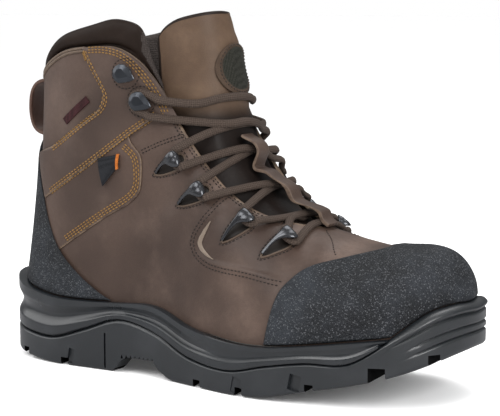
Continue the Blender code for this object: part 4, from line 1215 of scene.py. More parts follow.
corner_drop = CORNER_HIGH * (1 - np.sqrt(1 - past_corner ** 2))
corner_drop *= np.clip(1 - (top_z - spots[:, 2]) / CORNER_REACH, 0.0, 1.0)
for middle, width, depth in TONGUE_FOLDS:
    height -= depth * bump_at(middle, width, spots[:, 2]) * outward * (1 - bound)
mark(mesh, "edge", bound)
shape(mesh, height)
for vert, lower in zip(mesh.verts, corner_drop):
    vert.co.z -= float(lower) * MM
tongue_look, tree, shader = finish("tongue_leather", Specular_IOR_Level=0.14)
# Below WARM_ABOVE the tones turn dark: a darker leather with painted shade under the laces added into it
up_there = node(tree, "ShaderNodeSeparateXYZ", {"Vector": place_on(tree)}).outputs["Z"]
warm = share(tree, up_there, *(limit * MM for limit in WARM_ABOVE))
skin = node(tree, "ShaderNodeGroup", node_tree=hide)
TONGUE_TONES = (
    ("Dark", (0.0070, 0.0046, 0.0038, 1.0), (0.055, 0.034, 0.022, 1.0)),
    ("Mid", (0.0110, 0.0073, 0.0060, 1.0), (0.083, 0.053, 0.035, 1.0)),
    ("Pale", (0.0180, 0.0122, 0.0099, 1.0), (0.124, 0.079, 0.050, 1.0)),
)
for key, low, high in TONGUE_TONES:
    tree.links.new(blend(tree, warm, low, high), skin.inputs[key])
at_edge = node(tree, "ShaderNodeAttribute", attribute_name="edge").outputs["Fac"]
colour = blend(tree, share(tree, at_edge, 0.45, 0.75), skin.outputs["Color"], (*COLLAR_MID, 1.0))
tree.links.new(colour, shader.inputs["Base Color"])
tree.links.new(skin.outputs["Roughness"], shader.inputs["Roughness"])
bump = node(tree, "ShaderNodeBump", {"Height": skin.outputs["Height"], "Distance": 0.1 * MM, "Strength": 0.6})
tree.links.new(bump.outputs["Normal"], shader.inputs["Normal"])
tongue = new_object("padded_tongue", mesh, tongue_look)
dress(tongue, "tongue_leather", "tongue")

# Patch on the tongue
# A plain round of dark cloth in a brown leather ring, sewn on through the ring.

PATCH_RING = (12.4, 13.0)
PATCH_SEAM = 13.9
PATCH_PUFF = 0.35
PUFF_WIDE = 0.9
PATCH_FRONT = 0.5
PATCH_ROW = 7
PATCH_ALONG = np.array((0.12, 1.0, 0.0))
PATCH_CLOTH = ((0.009, 0.009, 0.0065, 1.0), (0.027, 0.027, 0.021, 1.0))
PATCH_LEATHER = ((0.030, 0.019, 0.013, 1.0), (0.062, 0.041, 0.028, 1.0))
mesh = subdivided(merged_copy("tongue_patch"), 3, SHARP, 0.9)
spots, ways_out = millimetres(mesh)
patch_middle = (spots.min(axis=0) + spots.max(axis=0)) / 2
patch_up = unit(TONGUE[PATCH_ROW, :3] - TONGUE[PATCH_ROW - 1, :3])
patch_out = unit(np.cross(PATCH_ALONG, patch_up))
patch_side = np.cross(patch_up, patch_out)
offset = spots - patch_middle
radius = np.hypot(offset @ patch_up, offset @ patch_side)
mark(mesh, "edge", smooth_step(*PATCH_RING, radius))
puff = PATCH_PUFF * bump_at(PATCH_SEAM, PUFF_WIDE, radius)
shape(mesh, np.where(ways_out @ patch_out > PATCH_FRONT, puff, 0.0))
patch_look, tree, shader = finish("patch_cloth", Roughness=0.9, Specular_IOR_Level=0.2)
where = place_on(tree)
weave = node(tree, "ShaderNodeTexVoronoi", {"Vector": where, "Scale": 1300.0, "Randomness": 0.3})
threads = share(tree, weave.outputs["Distance"], 0.7, 0.15)
in_middle = blend(tree, threads, *PATCH_CLOTH)
in_ring = blend(tree, noise(tree, where, 160.0, 4.0), *PATCH_LEATHER)
at_edge = node(tree, "ShaderNodeAttribute", attribute_name="edge").outputs["Fac"]
tree.links.new(blend(tree, at_edge, in_middle, in_ring), shader.inputs["Base Color"])
bump = node(tree, "ShaderNodeBump", {"Height": threads, "Distance": 0.25 * MM, "Strength": 0.7})
tree.links.new(bump.outputs["Normal"], shader.inputs["Normal"])
patch = new_object("tongue_round_patch", mesh, patch_look)
dress(patch, "patch_fabric", "tongue_patch")

# Pull loop
# A folded strip of dark reddish leather sewn to the back of the shaft at both ends.

mesh = subdivided(merged_copy("pull_loop"), 3, SHARP, 0.85)
mesh.verts.layers.float.new("edge")
LOOP_DARK = (0.050, 0.0260, 0.0190)
LOOP_MID = (0.075, 0.0410, 0.0300)
LOOP_PALE = (0.120, 0.0760, 0.0560)
loop_look = leather("pull_loop_leather", LOOP_DARK, LOOP_MID, LOOP_PALE, LOOP_PALE, 0.1)
pull_loop = new_object("pull_loop_strap", mesh, loop_look)
dress(pull_loop, "collar_leather", "pull_loop")

# Lace hooks
# Pressed steel, plated blue-grey: a faceted drop-shaped head on a short neck.
# Each is riveted through the ankle panel.

bpy.context.view_layer.update()
graph = bpy.context.evaluated_depsgraph_get()


def seen_mesh(*pieces):
    """The finished faces of several pieces as one mesh."""
    made = bmesh.new()
    for piece in pieces:
        made.from_mesh(piece.evaluated_get(graph).to_mesh())
    made.normal_update()
    return made


Seat = namedtuple("Seat", "back_x back_z front_x front_z forward")
HOOKS = (Seat(95.0, 177.5, 105.0, 174.0, 9.0), Seat(105.0, 161.5, 115.0, 158.0, 12.0))
ON_PANEL = 2.05
PANEL_KINDS = ("side_panel", "ankle_panel_leather")
panels = [bpy.data.objects[f"{kind}_{name}"] for kind in PANEL_KINDS for name, _ in SIDES]
dressed_mesh = seen_mesh(upper, toe_cap, counter, *panels)
dressed_tree = BVHTree.FromBMesh(dressed_mesh)
dressed_mesh.free()


def seat(place, side, lift):
    """A frame on the wall with X towards the throat and Z out."""
    forward = place.forward if side > 0 else 0.0
    ends = ((place.back_x, place.back_z), (place.front_x, place.front_z))
    behind, before = (cast(wall_tree, x + forward, z, side)[0] for x, z in ends)
    spot, out, _, _ = wall_tree.find_nearest((behind + before) / 2)
    ahead = before - behind
    ahead = (ahead - out * ahead.dot(out)).normalized()
    turn = Matrix((ahead, out.cross(ahead), out)).transposed().to_4x4()
    return Matrix.Translation(spot + out * lift * MM) @ turn


def in_seat(seat_frame, points):
    """Points of a seat's frame, in millimetres from the heel."""
    return np.array([(seat_frame @ (Vector(map(float, point)) * MM) - HEEL) / MM for point in points])


HOOK_POINT = 9.2
HOOK_ROUND = 5.9
POINT_NARROWED = 0.25
DROP_SIDES = 12
HOOK_STEM = ((4.4, 0.0), (4.4, 0.9), (2.5, 1.5), (2.5, 4.2))
HOOK_HEAD = ((0.86, 4.5), (1.0, 5.2), (0.96, 5.7), (0.52, 7.2))
HOOK_FACET = math.radians(24.0)
HOOK_BEVEL = 0.3
HOOK_DARK = (0.034, 0.037, 0.043, 1.0)
HOOK_PALE = (0.060, 0.065, 0.074, 1.0)


def drop(scale, z):
    """A ring of the hook's head: round behind, drawn out to a point ahead."""
    ring = []
    for k in range(DROP_SIDES):
        turn = 2 * math.pi * k / DROP_SIDES
        ahead = max(math.cos(turn), 0.0) ** 3
        reach = HOOK_ROUND + (HOOK_POINT - HOOK_ROUND) * ahead
        narrow = 1 - POINT_NARROWED * max(math.cos(turn), 0.0)
        ring.append((reach * math.cos(turn) * scale, HOOK_ROUND * math.sin(turn) * narrow * scale, z))
    return ring


def round_ring(radius, z):
    turns = [2 * math.pi * k / DROP_SIDES for k in range(DROP_SIDES)]
    return [(radius * math.cos(turn), radius * math.sin(turn), z) for turn in turns]


def metal(name, colour, pale, roughness):
    """Plated steel with faint smears."""
    look, tree, shader = finish(name, Metallic=0.85)
    smear = noise(tree, place_on(tree), 110.0, 3.0, 0.5)
    tree.links.new(blend(tree, smear, colour, pale), shader.inputs["Base Color"])
    uneven = sum_of(tree, roughness, sum_of(tree, smear, GLOSS_SPREAD, "MULTIPLY"))
    tree.links.new(uneven, shader.inputs["Roughness"])
    return look


hook_look = metal("hook_plating", HOOK_DARK, HOOK_PALE, 0.24)
hook_rings = [round_ring(*row) for row in HOOK_STEM] + [drop(*row) for row in HOOK_HEAD]
for row, place in enumerate(HOOKS, 1):
    for name, side in SIDES:
        frame_here = seat(place, side, ON_PANEL)
        mesh, _ = closed_loft([in_seat(frame_here, ring) for ring in hook_rings])
        hook = new_object(f"hook_{row}_{name}", mesh, hook_look)
        hook.data.set_sharp_from_angle(angle=HOOK_FACET)
        rounding = hook.modifiers.new("rounding", "BEVEL")
        rounding.width = HOOK_BEVEL * MM
        rounding.segments = 2
        rounding.limit_method = "ANGLE"
        rounding.angle_limit = HOOK_FACET
        dress(hook, "gunmetal", f"lace_hook_{row}_{name}")

# Lace rings
# Bent black steel loops, narrow behind and hooded towards the throat. They come up out of sewn slits
# shaped like leaves, and the lace runs through under the hood.

RINGS = (
    Seat(121.0, 119.0, 139.0, 129.0, 12.0), Seat(138.0, 102.0, 157.0, 112.0, 10.0),
    Seat(171.0, 85.0, 181.0, 96.0, 2.0), Seat(195.0, 78.0, 203.0, 86.0, 4.0),
)
Plate = namedtuple("Plate", "x z half shift")
RING_PLATE = np.array([Plate(*row) for row in (
    (-12.5, -0.4, 0.8, 0.5), (-9.5, 1.2, 0.9, 1.2), (-5.5, 3.1, 1.0, 1.9), (-1.5, 5.2, 1.4, 2.0),
    (1.6, 6.9, 2.6, 1.3), (4.2, 7.8, 4.2, 0.4), (6.8, 7.7, 5.0, 0.0), (8.8, 6.7, 5.0, 0.0),
    (9.5, 4.7, 3.8, 0.0), (8.9, 2.6, 2.7, 0.0), (7.6, 0.9, 2.2, 0.0),
)])
PLATE_ACROSS = (
    (-1.0, -0.35), (-0.62, 0.10), (-0.30, 0.38), (0.0, 0.05), (0.30, 0.38), (0.62, 0.10), (1.0, -0.35),
)
PLATE_THICK = 1.0
PLATE_STEPS = 26
HOOD_HALF = 5.0
LEAF = (
    (-15.0, 0.0), (-10.0, 3.2), (-2.0, 5.6), (4.5, 6.2), (9.5, 4.0), (11.0, 0.0), (9.5, -4.0), (4.5, -6.2),
    (-2.0, -5.6), (-10.0, -3.2), (-15.0, 0.0),
)
SLIT = np.array((0.86, 0.72))
SLIT_STEPS = (1.0, 0.7, 0.35)
SLIT_LIFT = 0.2
SLIT_THICK = 0.3
WELT_LIFT = 0.25
WELT_WIDE = 1.2
WELT_HIGH = 1.0
WELT_SIDES = 6
RING_LIFT = 0.3
LAID_FROM = 14.0
LAID_FAR = 24.0
RING_DARK = (0.044, 0.045, 0.049, 1.0)
RING_PALE = (0.082, 0.084, 0.090, 1.0)
SLIT_DARK = (0.006, 0.004, 0.003)
SLIT_MID = (0.010, 0.007, 0.005)
SLIT_PALE = (0.018, 0.013, 0.010)


def laid(points, frame_here, lift):
    """Points of a seat's plane laid on the boot, with the ways out there."""
    spots, outs = [], []
    down = -frame_here.col[2].to_3d()
    for x, y in points:
        start = frame_here @ Vector((x * MM, y * MM, LAID_FROM * MM))
        spot, out, _, _ = dressed_tree.ray_cast(start, down)
        if spot is None or (spot - start).length > LAID_FAR * MM:
            spot, out, _, _ = dressed_tree.find_nearest(frame_here @ Vector((x * MM, y * MM, 0.0)))
        spots.append((spot - HEEL) / MM + out * lift)
        outs.append(out)
    return np.array(spots), np.array(outs)


ring_look = metal("ring_steel", RING_DARK, RING_PALE, 0.20)
# A dark sheet laid in each slit paints the shade in its opening
slit_shade_look = leather("slit_lining", SLIT_DARK, SLIT_MID, SLIT_PALE, COLLAR_PALE)
leaf = smooth_line(LEAF, 1.2)
plate_rows = spline(np.arange(len(RING_PLATE)), RING_PLATE, np.linspace(0, len(RING_PLATE) - 1, PLATE_STEPS))
plate_ways = np.gradient(plate_rows[:, :2], axis=0)
plate_ups = unit(np.column_stack([-plate_ways[:, 1], plate_ways[:, 0]]))


def ring_plate(up):
    """The rings of a lace ring's plate in its seat, its rail moved to the upper side."""
    rings = []
    for (x, z, half, shift), (up_x, up_z) in zip(plate_rows, plate_ups):
        top = []
        for part, high in PLATE_ACROSS:
            bulge = high * half / HOOD_HALF
            top.append((x + up_x * bulge, (part * half + shift) * up, z + up_z * bulge))
        under = [(px - up_x * PLATE_THICK, py, pz - up_z * PLATE_THICK) for px, py, pz in top[::-1]]
        rings.append(top + under)
    return rings


ring_seats = {}
welts, slit_shades = [], []
for row, place in enumerate(RINGS, 1):
    for name, side in SIDES:
        frame_here = seat(place, side, RING_LIFT)
        ring_seats[row, name] = frame_here
        mesh, _ = closed_loft([in_seat(frame_here, ring) for ring in ring_plate(-side)])
        ring = new_object(f"ring_{row}_{name}", mesh, ring_look)
        softer = ring.modifiers.new("softer", "SUBSURF")
        softer.levels = softer.render_levels = 1
        dress(ring, "gunmetal", f"lace_ring_{row}_{name}")
        edge, outs = laid(leaf * SLIT, frame_here, WELT_LIFT)
        welts.append(tube(edge, outs, WELT_WIDE, WELT_HIGH, WELT_SIDES)[0])
        rings = [laid(leaf[:-1] * SLIT * scale, frame_here, SLIT_LIFT)[0] for scale in SLIT_STEPS]
        mesh, rows = loft(rings)
        bmesh.ops.contextual_create(mesh, geom=rows[-1])
        bmesh.ops.recalc_face_normals(mesh, faces=mesh.faces)
        if sum((face.normal * face.calc_area()).dot(frame_here.col[2].to_3d()) for face in mesh.faces) < 0:
            bmesh.ops.reverse_faces(mesh, faces=mesh.faces)
        slit_shades.append(mesh)
# The dark sheets in the slits, painted shade
slit_shade_sheet = new_object("ring_slits", joined(slit_shades), slit_shade_look)
thickness = slit_shade_sheet.modifiers.new("thickness", "SOLIDIFY")
thickness.thickness = SLIT_THICK * MM
dress(slit_shade_sheet, "brown_leather")
welt_mesh = joined(welts)
welt_mesh.verts.layers.float.new("edge")
dress(new_object("ring_slit_edges", welt_mesh, bead_look), "brown_leather")

# Lace
# One braided lace, dark brown: from the inner lower hook over to the outer one, down through the rings to
# a bar at the bottom, and back up to the inner hook. Both ends stop behind that hook's neck.

LACE_WIDE = 4.8
LACE_THICK = 3.3
LACE_STEP = 2.0
LACE_OFF = LACE_THICK / 2 + 0.15
ROW_UP = (5.35, 4.6, 3.85, 2.65, 1.20)
ROW_DOWN = (4.75, 4.05, 2.95, 1.40, 0.55)
OVER_TURNS = np.radians((-48.0, -24.0, 0.0, 24.0, 48.0))
LOW_RUN = (1.9, 1.9, 1.9, 1.9, 1.9)
HIGH_RUN = (1.9, 3.6, 5.2, 3.6, 1.9)
RING_TURN = (
    (11.0, 5.6, 2.6), (7.8, 5.3, 3.0), (5.4, 3.4, 3.2), (4.5, 0.0, 3.2), (5.4, -3.4, 3.2), (7.8, -5.3, 3.0),
    (11.0, -5.6, 2.6),
)
RUN_FROM = 17.0
LAST_RING = len(RINGS)
HELD_WITHIN = 3.0
PAST_EDGE = (2.0, 9.0)
LACE_OFF_WALL = LACE_OFF + 0.2
LACE_EASINGS = 3
TWIST_EASINGS = 6
LACE_SIDES = 12
HOOK_TURN = (
    (12.5, 5.2, 2.4), (7.0, 5.4, 2.8), (2.0, 5.1, 2.9), (-2.8, 4.2, 2.9), (-5.0, 0.0, 2.9), (-2.8, -4.2, 2.9),
    (2.0, -5.1, 2.9), (7.0, -5.4, 2.8), (12.5, -5.2, 2.4),
)
tongue_tree = BVHTree.FromObject(tongue, graph)


def lace_seat(level, name):
    return ring_seats[level, name] if level else seat(HOOKS[1], dict(SIDES)[name], ON_PANEL)


def turn_at(level, name, from_up, whole=True):
    """The lace's turn round a hook (level 0) or through a ring, from its upper or its lower side."""
    frame_here = lace_seat(level, name)
    up = 1.0 if name == "outer" else -1.0
    bend = RING_TURN if level else HOOK_TURN
    if level == LAST_RING:
        bend = RING_TURN[:-1]
    points = in_seat(frame_here, [(x, y * up, z) for x, y, z in bend])
    points = points if from_up else points[::-1]
    return points if whole else points[:len(points) // 2 + 1]


def run_over(outer, inner, heights):
    """Points over the tongue from outer to inner side; an end is a level and whether it is the upper run."""
    rows = [(ROW_UP if up else ROW_DOWN)[level] for level, up in (outer, inner)]
    into = [lace_seat(level, name).inverted() for (level, _), (name, _) in zip((outer, inner), SIDES)]
    points = []
    for part, turn, height in zip(np.linspace(0.0, 1.0, len(OVER_TURNS)), OVER_TURNS, heights):
        spot, out = tongue_at(rows[0] + (rows[1] - rows[0]) * part, turn)
        if turn == 0.0 or min((matrix @ at(*spot)).x for matrix in into) > RUN_FROM * MM:
            points.append(spot + out * height)
    return np.array(points)


route = [turn_at(0, "inner", True, whole=False)[::-1]]
route.append(run_over((0, True), (0, True), LOW_RUN)[::-1])
route.append(turn_at(0, "outer", True))
for level in range(1, LAST_RING + 1):
    if level % 2:
        route.append(run_over((level - 1, False), (level, True), HIGH_RUN))
        route.append(turn_at(level, "inner", True))
    else:
        route.append(run_over((level, True), (level - 1, False), LOW_RUN)[::-1])
        route.append(turn_at(level, "outer", True))
route.append(run_over((LAST_RING, False), (LAST_RING, False), LOW_RUN))
route.append(turn_at(LAST_RING, "inner", False))
for level in range(LAST_RING, 0, -1):
    if level % 2:
        route.append(run_over((level, True), (level - 1, False), LOW_RUN))
        route.append(turn_at(level - 1, "inner", False, whole=level > 1))
    else:
        route.append(run_over((level - 1, False), (level, True), HIGH_RUN)[::-1])
        route.append(turn_at(level - 1, "outer", False))
lace_line = smooth_line(np.vstack(route), LACE_STEP)
held = nearest(lace_line, np.vstack(route[::2]))[0] < HELD_WITHIN


def clear_of(line, tree, off):
    """Moves points out where they are nearer than `off` to a face."""
    outs = np.empty_like(line)
    for k, point in enumerate(line):
        spot, out, _, _ = tree.find_nearest(at(*point))
        spot, out = np.array((spot - HEEL) / MM), np.array(out)
        high = (point - spot) @ out
        aside = np.linalg.norm(point - spot - out * high)
        line[k] = point + out * max(off - high, 0.0) * (1 - smooth_step(*PAST_EDGE, aside))
        outs[k] = out
    return outs


for _ in range(LACE_EASINGS):
    eased = lace_line.copy()
    eased[1:-1] = (lace_line[:-2] + 2 * lace_line[1:-1] + lace_line[2:]) / 4
    lace_line = np.where(held[:, None], lace_line, eased)
    clear_of(lace_line, tongue_tree, LACE_OFF)
    clear_of(lace_line, wall_tree, LACE_OFF_WALL)
on_wall_outs = clear_of(lace_line, wall_tree, 0.0)
on_tongue_outs = clear_of(lace_line, tongue_tree, 0.0)
over_wall = []
for point in lace_line:
    from_wall = wall_tree.find_nearest(at(*point))[3]
    over_wall.append(from_wall < tongue_tree.find_nearest(at(*point))[3])
lace_ups = np.where(np.array(over_wall)[:, None], on_wall_outs, on_tongue_outs)
for _ in range(TWIST_EASINGS):
    lace_ups[1:-1] = unit(lace_ups[:-2] + lace_ups[1:-1] + lace_ups[2:])
mesh, rows = tube(lace_line, lace_ups, LACE_WIDE, LACE_THICK, LACE_SIDES)
mesh.verts.index_update()
rows = [[vert.index for vert in row] for row in rows]
along = mesh.verts.layers.float.new("along")
around = mesh.verts.layers.float.new("around")
mesh.verts.ensure_lookup_table()
length_at = np.concatenate([[0.0], np.cumsum(np.linalg.norm(np.diff(lace_line, axis=0), axis=1))])
for row, length in zip(rows, length_at):
    for k, index in enumerate(row):
        mesh.verts[index][along] = float(length)
        mesh.verts[index][around] = k / len(row)

BRAID_PITCH = 2.4
BRAID_STRANDS = 6
LACE_DARK = (0.024, 0.0165, 0.0125, 1.0)
LACE_PALE = (0.068, 0.0475, 0.0370, 1.0)
LACE_FUZZ = (0.041, 0.0285, 0.0220, 1.0)
lace_look, tree, shader = finish("braided_lace", Roughness=0.85, Specular_IOR_Level=0.25)
run = node(tree, "ShaderNodeAttribute", attribute_name="along").outputs["Fac"]
round_it = node(tree, "ShaderNodeAttribute", attribute_name="around").outputs["Fac"]
run = sum_of(tree, run, 2 * math.pi / BRAID_PITCH, "MULTIPLY")
round_it = sum_of(tree, round_it, 2 * math.pi * BRAID_STRANDS, "MULTIPLY")
left = sum_of(tree, sum_of(tree, run, round_it), 0.0, "SINE")
right = sum_of(tree, sum_of(tree, run, round_it, "SUBTRACT"), 0.0, "SINE")
braid = share(tree, sum_of(tree, left, right, "MULTIPLY"), -0.7, 0.7)
fibres = noise(tree, place_on(tree), 700.0, 3.0)
colour = blend(tree, braid, LACE_DARK, LACE_PALE)
tree.links.new(blend(tree, fibres, colour, LACE_FUZZ), shader.inputs["Base Color"])
raised = sum_of(tree, braid, sum_of(tree, fibres, 0.5, "MULTIPLY"))
bump = node(tree, "ShaderNodeBump", {"Height": raised, "Distance": 0.35 * MM, "Strength": 0.8})
tree.links.new(bump.outputs["Normal"], shader.inputs["Normal"])
lace = new_object("lace", mesh, lace_look)
dress(lace, "lace_fabric", "lace_bar_top", *(f"lace_crossing_{level}" for level in range(1, LAST_RING + 1)))

# Lace keeper
# A strap of the same leather with raw edges, sewn to the tongue above and to the vamp below.
# It weaves over the laces down the middle.

KEEPER_OUT = Vector((0.75, 0.0, 0.66))
KEEPER_WAVES = (
    (133.0, 6.0, 1.8), (121.0, 5.0, -0.8), (111.0, 4.5, 2.6), (105.2, 3.0, -2.0), (97.5, 3.6, 2.4),
)
KEEPER_SIDES = (0.35, 0.8)
KEEPER_MID = (0.068, 0.0440, 0.0330)
KEEPER_PALE = (0.105, 0.0710, 0.0540)
KEEPER_EDGE = (0.125, 0.088, 0.064)
mesh = subdivided(merged_copy("lace_keeper"), 3, SHARP, 0.85)
spots, ways_out = millimetres(mesh)
wave = sum(high * bump_at(middle, width, spots[:, 2]) for middle, width, high in KEEPER_WAVES)
for vert, high in zip(mesh.verts, wave):
    vert.co += KEEPER_OUT * float(high) * MM
mark(mesh, "edge", smooth_step(*KEEPER_SIDES, np.abs(ways_out[:, 1])))
keeper_look = leather("keeper_leather", HIDE_DARK, KEEPER_MID, KEEPER_PALE, KEEPER_EDGE)
keeper = new_object("lace_keeper_strap", mesh, keeper_look)
dress(keeper, "brown_leather", "lace_keeper")

# Stitching
# Thick ochre thread in rows of three along the panels, and dark brown thread in pairs along the other seams,
# round the slits and hooks and along the throat. Each stitch is a small bead half sunk in the leather.


def sew(spots, outs, pitch, length, thick):
    """A mesh of stitches at even steps along a line of spots."""
    mesh = bmesh.new()
    if len(spots) < 2:
        return mesh
    gaps = np.linalg.norm(np.diff(spots, axis=0), axis=1)
    along = np.concatenate([[0.0], np.cumsum(gaps)])
    for place in np.arange(pitch / 2, along[-1], pitch):
        k = min(int(np.searchsorted(along, place, side="right")) - 1, len(gaps) - 1)
        part = (place - along[k]) / max(gaps[k], 1e-6)
        out = Vector(outs[k])
        way = Vector(spots[k + 1] - spots[k]).normalized()
        way = (way - out * way.dot(out)).normalized()
        turn = Matrix((way, out.cross(way), out)).transposed().to_4x4()
        size = Matrix.Diagonal((length / 2 * MM, thick / 2 * MM, thick / 2 * MM, 1.0))
        matrix = Matrix.Translation(at(*(spots[k] + (spots[k + 1] - spots[k]) * part))) @ turn @ size
        bmesh.ops.create_uvsphere(mesh, u_segments=6, v_segments=4, radius=1.0, matrix=matrix)
    return mesh


STITCH_LIFT = 0.05


def beside(points, side, offset):
    """A side view line laid on the boot, moved sideways in side view; gives spots and ways out."""
    line = smooth_line(points, 1.0)
    way = unit(np.gradient(line, axis=0))
    spots, outs = [], []
    for x, z in line + np.column_stack([-way[:, 1], way[:, 0]]) * offset:
        spot, out = cast(dressed_tree, x, z, side)
        if spot is not None and (spot.y - HEEL.y) * side > 0 and out.y * side > 0:
            spots.append((spot - HEEL) / MM + out * STITCH_LIFT)
            outs.append(out)
    return np.array(spots), np.array(outs)


def thread(name, colour, pale):
    look, tree, shader = finish(name, Roughness=0.6, Specular_IOR_Level=0.3)
    mottle = noise(tree, place_on(tree), 420.0, 3.0)
    tree.links.new(blend(tree, mottle, colour, pale), shader.inputs["Base Color"])
    return look


OCHRE_ROWS = (-1.5, 0.0, 1.5)
OCHRE_STITCH = (2.5, 2.1, 0.95)
OCHRE_UPPER = (
    (71.0, 188.0), (76.0, 179.0), (83.5, 167.5), (86.0, 161.0), (83.0, 154.5), (72.0, 147.5), (58.0, 138.5),
    (44.0, 130.0),
)
OCHRE_MIDDLE = ((42.0, 103.5), (62.0, 115.5), (81.0, 127.5), (101.0, 141.0), (114.0, 149.3), (120.5, 153.5))
OCHRE_LOWER = (
    (98.0, 134.0), (105.0, 127.5), (107.2, 117.0), (106.0, 109.0), (100.0, 103.0), (84.0, 94.0), (66.0, 83.0),
    (54.0, 75.5),
)
OCHRE_TOP = (
    (74.0, 189.0), (84.0, 189.3), (94.0, 187.6), (102.0, 183.6), (109.0, 177.0), (116.0, 168.5),
    (122.0, 159.5), (125.5, 153.0),
)
BARTACK = ((69.8, 188.2), (72.0, 183.0))
BARTACK_ROWS = (-1.4, -0.7, 0.0, 0.7, 1.4)
BARTACK_STITCH = (1.1, 1.3, 0.9)
BROWN_PAIR = (0.9, -0.9)
BROWN_STITCH = (2.3, 1.7, 0.75)
FACING_SEAM = ((109.0, 130.5), (122.0, 136.0), (136.0, 141.0))
CRESCENT_ROWS = (2.0, 4.2)
VAMP_ROW = 1.5
VAMP_SEAM = ((213.0, 87.0), (222.0, 83.0), (230.0, 77.0))
FACING_ROWS = (1.9, 3.7)
FACING_ASIDE = 3.0
FACING_AHEAD = 100.0
FACING_LOW = 86.0
FACING_HIGH = 150.0
HOOK_STITCHES = 8.8
PATCH_POINTS = 90
PATCH_CLEAR = 10.0
ochre_look = thread("ochre_thread", (0.095, 0.046, 0.008, 1.0), (0.23, 0.122, 0.030, 1.0))
brown_look = thread("brown_thread", (0.006, 0.004, 0.003, 1.0), (0.020, 0.013, 0.010, 1.0))
for name, side in SIDES:
    ochre, brown = [], []
    for line in (OCHRE_UPPER, OCHRE_MIDDLE, OCHRE_LOWER, OCHRE_TOP):
        for offset in OCHRE_ROWS:
            ochre.append(sew(*beside(line, side, offset), *OCHRE_STITCH))
    for offset in BARTACK_ROWS:
        ochre.append(sew(*beside(BARTACK, side, offset), *BARTACK_STITCH))
    for offset in BROWN_PAIR:
        brown.append(sew(*beside(FACING_SEAM, side, offset), *BROWN_STITCH))
    for offset in CRESCENT_ROWS:
        brown.append(sew(*beside(CRESCENT, side, -offset), *BROWN_STITCH))
    brown.append(sew(*beside(VAMP_SEAM, side, VAMP_ROW), *BROWN_STITCH))
    for row in range(1, LAST_RING + 1):
        brown.append(sew(*laid(leaf, ring_seats[row, name], STITCH_LIFT), *BROWN_STITCH))
    for place in HOOKS:
        ring = [point[:2] for point in round_ring(HOOK_STITCHES, 0.0)]
        ring = smooth_line(ring + ring[:1], 1.0)
        brown.append(sew(*laid(ring, seat(place, side, ON_PANEL), STITCH_LIFT), *BROWN_STITCH))
    in_throat = (rim_spots[:, 1] * side > FACING_ASIDE) & (rim_spots[:, 0] > FACING_AHEAD)
    in_throat &= (rim_spots[:, 2] > FACING_LOW) & (rim_spots[:, 2] < FACING_HIGH)
    for down in FACING_ROWS:
        spots, outs = [], []
        for point in rim_spots[in_throat] + rim_down[in_throat] * down:
            spot, out, _, _ = dressed_tree.find_nearest(at(*point))
            spots.append((spot - HEEL) / MM + out * STITCH_LIFT)
            outs.append(out)
        brown.append(sew(np.array(spots), np.array(outs), *BROWN_STITCH))
    dress(new_object(f"ochre_stitching_{name}", joined(ochre), ochre_look), "brown_leather")
    dress(new_object(f"brown_stitching_{name}", joined(brown), brown_look), "brown_leather")
turns = np.linspace(0.0, 2 * np.pi, PATCH_POINTS)
round_patch = np.outer(np.cos(turns), patch_up) + np.outer(np.sin(turns), patch_side)
patch_tree = BVHTree.FromObject(patch, graph)
spots = []
for point in patch_middle + PATCH_SEAM * round_patch:
    spot, _, _, _ = patch_tree.ray_cast(at(*(point + patch_out * PATCH_CLEAR)), -Vector(patch_out))
    if spot is not None:
        spots.append((spot - HEEL) / MM)
patch_stitches = sew(np.array(spots), np.tile(patch_out, (len(spots), 1)), *BROWN_STITCH)
dress(new_object("patch_stitching", patch_stitches, brown_look), "patch_fabric")

# Tag, label and seam strip
# A folded black cloth tag with an orange edge and a narrow dark label, both plain, are caught in the outer
# seams. A pale strip, on both sides where the quarter's edge parts from the vamp, paints the highlight that
# this raised edge catches.


def facing_out(grid, side):
    """An open mesh through rows of points, its face turned out to a side."""
    mesh, _ = loft(grid, closed=False)
    mesh.normal_update()
    if sum(face.normal.y for face in mesh.faces) * side < 0:
        bmesh.ops.reverse_faces(mesh, faces=mesh.faces)
    return mesh


def sheet_on(corners, side, lifts):
    """An open sheet over four corners in side view, laid on the boot; each row of it has its lift."""
    a, b, c, d = np.array(corners, float)
    grid = []
    for v, lift in zip(np.linspace(0.0, 1.0, len(lifts)), lifts):
        row = []
        for u in np.linspace(0.0, 1.0, len(lifts)):
            x, z = (a + (b - a) * u) * (1 - v) + (d + (c - d) * u) * v
            spot, out = cast(dressed_tree, x, z, side)
            row.append((spot - HEEL) / MM + out * float(lift))
        grid.append(row)
    return facing_out(grid, side)


def cloth(name, colour, pale):
    """Close-woven ribbon."""
    look, tree, shader = finish(name, Roughness=0.75, Specular_IOR_Level=0.12)
    where = place_on(tree)
    cells = node(tree, "ShaderNodeTexVoronoi", {"Vector": where, "Scale": 1700.0, "Randomness": 0.25})
    threads = share(tree, cells.outputs["Distance"], 0.7, 0.2)
    tree.links.new(blend(tree, threads, colour, pale), shader.inputs["Base Color"])
    bump = node(tree, "ShaderNodeBump", {"Height": threads, "Distance": 0.2 * MM, "Strength": 0.6})
    tree.links.new(bump.outputs["Normal"], shader.inputs["Normal"])
    return look


SHEET_BEVEL = 0.25


def with_body(piece, thick):
    """Gives an open sheet its thickness and takes off the hard edge."""
    thickness = piece.modifiers.new("thickness", "SOLIDIFY")
    thickness.thickness = thick * MM
    thickness.offset = -1.0
    rounding = piece.modifiers.new("rounding", "BEVEL")
    rounding.width = SHEET_BEVEL * MM
    rounding.segments = 2
    rounding.limit_method = "ANGLE"
    return piece


